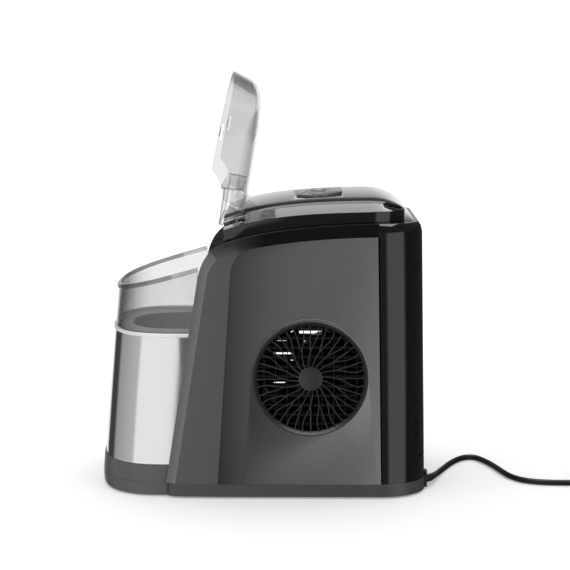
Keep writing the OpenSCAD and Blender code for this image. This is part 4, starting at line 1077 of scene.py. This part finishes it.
@dataclass(frozen=True)
class Panel:
    """A soft light: where it stands, its size and how bright it looks."""

    name: str
    azimuth: float
    distance: float
    height: float
    width: float
    tall: float
    brightness: float
    shine: Shine
    # Watts for each square metre at a brightness of 1.
    watts: float = 4.0

    def build(self, aim: Vector) -> None:
        """Places the light and turns it to the object.

        Args:
            aim: the point it faces.
        """
        data = bpy.data.lights.new(self.name, "AREA")
        data.shape = "RECTANGLE"
        data.size, data.size_y = self.width, self.tall
        data.energy = self.watts * self.brightness * self.width * self.tall
        lamp = bpy.data.objects.new(self.name, data)
        angle = math.radians(self.azimuth)
        lamp.location = aim + Vector((
            self.distance * math.cos(angle), self.distance * math.sin(angle), self.height - aim.z
        ))
        lamp.rotation_euler = (aim - lamp.location).to_track_quat("-Z", "Y").to_euler()
        lamp.visible_camera = False
        lamp.visible_diffuse = self.shine is not Shine.GLOSS
        lamp.visible_glossy = self.shine is not Shine.FILL
        bpy.context.scene.collection.objects.link(lamp)


@dataclass
class Studio:
    """Camera, floor, backdrop and soft lights."""

    eye: Point = (2.056, 0.0386, 0.486)
    pitch: float = 7.449
    yaw: float = 0.371
    lens: float = 115.93
    sensor: float = 36.0
    reach: float = 60.0
    # Brightness all round the room: azimuth in degrees from +X towards +Y, and level.
    room: tuple[tuple[float, float], ...] = (
        (-155, 0.05), (-130, 0.05), (-125, 0.35), (-64, 0.55), (-62, 0.97), (-1.9, 0.97),
        (-1.5, 0.13), (20, 0.13), (27, 1.1), (66, 1.1), (75, 0.05), (160, 0.05),
    )
    # The azimuths between which the wall behind the object stands, and its level low and high up.
    back_from: float = 168.0
    back_to: float = -158.0
    back_low: float = 1.0
    back_high: float = 0.22
    fill: float = 0.8
    seen: float = 1.02
    # The back wall dims over this rise, and the walls give way to a dim ceiling over that one.
    back_rise: tuple[float, float] = (0.0, 0.17)
    ceiling_rise: tuple[float, float] = (0.24, 0.31)
    ceiling: float = 0.12
    # How far behind the object the table's own glow starts to grow, and where it is full.
    glow_from: float = 0.25
    glow_full: float = 1.0
    # The table top's middle along X, and its size.
    table_x: float = -3.7
    table: tuple[float, float] = (8.5, 9.0)
    table_tones: tuple[float, float] = (0.86, 0.88)
    table_rough: float = 0.6
    table_gloss: float = 0.2
    glow_tones: tuple[float, float] = (0.6, 1.0)
    glow: float = 0.45
    aim: Point = (0.0, 0.0, 0.2)
    panels: tuple[Panel, ...] = (
        Panel("soft_top", 180.0, 0.15, 1.9, 2.6, 2.4, 0.45, Shine.FILL),
        Panel("top_shine", 180.0, 0.15, 1.85, 2.4, 2.2, 3.7, Shine.GLOSS),
    )

    def camera(self) -> None:
        """Places the camera."""
        data = bpy.data.cameras.new("camera")
        data.lens = self.lens
        data.sensor_width = self.sensor
        data.clip_end = self.reach
        camera = bpy.data.objects.new("camera", data)
        camera.location = self.eye
        p, a = math.radians(self.pitch), math.radians(self.yaw)
        ahead = Vector((-math.cos(a) * math.cos(p), -math.sin(a) * math.cos(p), -math.sin(p)))
        camera.rotation_euler = ahead.to_track_quat("-Z", "Y").to_euler()
        scene = bpy.context.scene
        scene.collection.objects.link(camera)
        scene.camera = camera
        scene.view_settings.view_transform = "Standard"

    def floor(self) -> None:
        """A pale table top that ends a little in front of the object."""
        bpy.ops.mesh.primitive_plane_add(size=1.0, location=(self.table_x, 0.0, 0.0))
        floor = bpy.context.view_layer.objects.active
        floor.scale = (*self.table, 1.0)
        settle(floor, "table_top")
        floor.data.materials.append(Shade.material("table_top", self.laminate))
        floor.visible_glossy = False

    def laminate(self, shade: Shade) -> None:
        """Puts a plain pale laminate on the table top."""
        grain = shade.noise(6.0, detail=2.0)
        behind = (-1.0 * shade.axis(0)).rising(self.glow_from, self.glow_full)
        shade.surface.update({
            "Base Color": grain.between(*map(grey, self.table_tones)),
            "Roughness": 0.1 * grain + self.table_rough,
            "Specular IOR Level": self.table_gloss,
            "Emission Color": behind.between(*map(grey, self.glow_tones)),
            "Emission Strength": self.glow,
        })

    def backdrop(self) -> None:
        """Light from the room: soft walls seen in the gloss, and plain white behind the object."""
        world = bpy.data.worlds.new("studio")
        bpy.context.scene.world = world
        world.use_nodes = True
        shade = Shade(world.node_tree)
        ray = shade.node("ShaderNodeTexCoord", output="Generated")
        x, y, up = (shade.node("ShaderNodeSeparateXYZ", inputs={0: ray}, output=i) for i in range(3))
        round_room = shade.node("ShaderNodeMath", {"operation": "ARCTAN2"}, {0: y, 1: x})
        turn = round_room / math.tau + 0.5
        low, high = (self.walls(shade, turn, back) for back in (self.back_low, self.back_high))
        walls = up.rising(*self.back_rise).between(low, high)
        room = up.rising(*self.ceiling_rise).between(walls, grey(self.ceiling))
        matt, seen = (
            shade.node("ShaderNodeLightPath", output=kind) for kind in ("Is Diffuse Ray", "Is Camera Ray")
        )
        filled = matt.between(room, grey(self.fill))
        shell = shade.node("ShaderNodeBackground", inputs={"Color": seen.between(filled, grey(self.seen))})
        shade.node("ShaderNodeOutputWorld", inputs={"Surface": shell})

    def walls(self, shade: Shade, turn: Value, back: float) -> Value:
        """The room's brightness by azimuth.

        Args:
            shade: the world's tree.
            turn: the azimuth as a share of a full turn.
            back: the level straight behind the object.

        Returns:
            A grey ramp.
        """
        around = ((-180, back), (self.back_to, back), *self.room, (self.back_from, back), (180, back))
        stops = tuple((azimuth / 360 + 0.5, level) for azimuth, level in around)
        return shade.node("ShaderNodeValToRGB", {"stops": stops}, {"Fac": turn})

    def build(self) -> None:
        """Sets up everything but the camera."""
        self.floor()
        self.backdrop()
        for panel in self.panels:
            panel.build(Vector(self.aim))


# ---------------------------------------------------------------- the machine


@dataclass
class Machine:
    """Dresses the solids: rounded skins where edges show, plain finishes elsewhere."""

    skins: tuple[Skin, ...] = (
        Skin("base_pan", "housing", Look.BASE_GREY, "dark_base", 0.8, sharp=10.0),
        Skin("front_plinth", "housing", Look.PLINTH_GREY, "dark_base", 0.5),
        Skin("front_band", "housing", Look.PLINTH_GREY, "dark_base", 0.4),
        Skin("steel_wrap", "housing", Look.STEEL, "steel", 0.25),
        Skin("trim_ring", "housing", Look.TRIM, "bright_trim", 1.2),
        Skin("bin_window", "housing", Look.WINDOW, "smoke_clear", 0.4, edge=Look.SMOKE_EDGE, edge_mm=3.8),
        Skin("bin_tub", "housing", Look.TUB, "tub_plastic", 0.5),
        Skin("ice_basket", "basket", Look.BASKET, "tub_plastic", 0.5),
        # The frames' flanks get the darker copy of their paint, a painted shade.
        *(
            Skin(
                f"{side}_frame", "housing", Look.PILLAR_PAINT, "side_paint", 0.4,
                sharp=13.0, flank=Look.FLANK_PAINTED_SHADE,
            )
            for side in ("right", "left")
        ),
        Skin("right_side_panel", "housing", Look.SIDE_PAINT, "side_paint", 0.3),
        Skin("left_side_panel", "housing", Look.SIDE_PAINT, "side_paint", 0.3),
        Skin("rear_cover", "housing", Look.BLACK_GLOSS, "gloss_black", 0.7),
        Skin("deck_plate", "housing", Look.BLACK_GLOSS, "gloss_black", 0.4),
        Skin("top_cover", "housing", Look.BLACK_GLOSS, "gloss_black", 1.2, 4),
        Skin("top_plate", "housing", Look.BLACK_GLOSS, "gloss_black", 1.0, 3),
        Skin("control_pod", "housing", Look.POD, "pod_grey", 0.7),
        Skin("power_button", "power_key", Look.KEY, "pod_grey", 0.6),
        Skin("select_button", "select_key", Look.KEY, "pod_grey", 0.6),
        Skin("lid_shell", "lid", Look.SMOKE, "smoke_clear", 0.4, edge=Look.SMOKE_EDGE, edge_mm=2.2),
        Skin("lid_baffle", "lid", Look.SMOKE_DARK, "smoke_clear", 0.3, edge=Look.SMOKE_EDGE, edge_mm=2.2),
        Skin("lid_arms", "lid", Look.SMOKE, "smoke_clear", 0.5),
        Skin("fan_grille", "housing", Look.GRILLE, "black_plastic", 0.35, 2),
    )
    plain: dict[Look, tuple[str, ...]] = field(default_factory=lambda: {
        Look.BLACK_GLOSS: ("rear_grille",),
        Look.FOAM: ("tub_insulation",),
        Look.LENS: ("indicator_lenses",),
        Look.BOARD: ("control_board",),
        # The condenser's dark tubes and fins are painted shade; its lighter bends carry painted glints.
        Look.CONDENSER: ("condenser_tubes",),
        Look.BEND: ("condenser_bends",),
        Look.FIN: ("condenser_fins",),
        Look.BLACK_MATT: ("fan_shroud", "fan_blades", "water_pump", "drain_spout", "ice_full_sensors"),
        Look.MOTOR: ("fan_motor",),
        Look.ENAMEL: ("compressor",),
        Look.RUBBER: ("compressor_grommets", "rubber_feet"),
        Look.ZINC: ("compressor_bolts", "base_screws", "rear_screws"),
        Look.COPPER: ("filter_drier", "discharge_pipe", "suction_pipe", "hot_gas_valve"),
        Look.NICKEL: ("evaporator", "freezing_fingers"),
        Look.WHITE: ("water_tray", "tray_motor", "ice_shovel", "drain_plug"),
        Look.LINER: ("ice_chamber",),
        Look.HOSE: ("water_hose",),
        Look.BRASS: ("plug_pins",),
    })

    def build(self, frame: dict, palette: Palette) -> None:
        """Dresses every node.

        Args:
            palette: the finishes.
        """
        for look, names in self.plain.items():
            for name in names:
                palette.dress(frame["nodes"][name], look)
        for skin in self.skins:
            piece = skin.build(frame, palette)
            log.info("%s: %d faces", piece.name, len(piece.data.polygons))


def main() -> None:
    """Builds the scene in order: frame, camera, lead, machine, panel, studio."""
    logging.basicConfig(level=logging.INFO, format="%(name)s %(message)s")
    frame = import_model()
    studio = Studio()
    studio.camera()
    palette = Palette()
    MainsLead().build(frame, palette)
    Machine().build(frame, palette)
    ControlPanel().build(palette)
    studio.build()


if __name__ == "__main__":
    main()
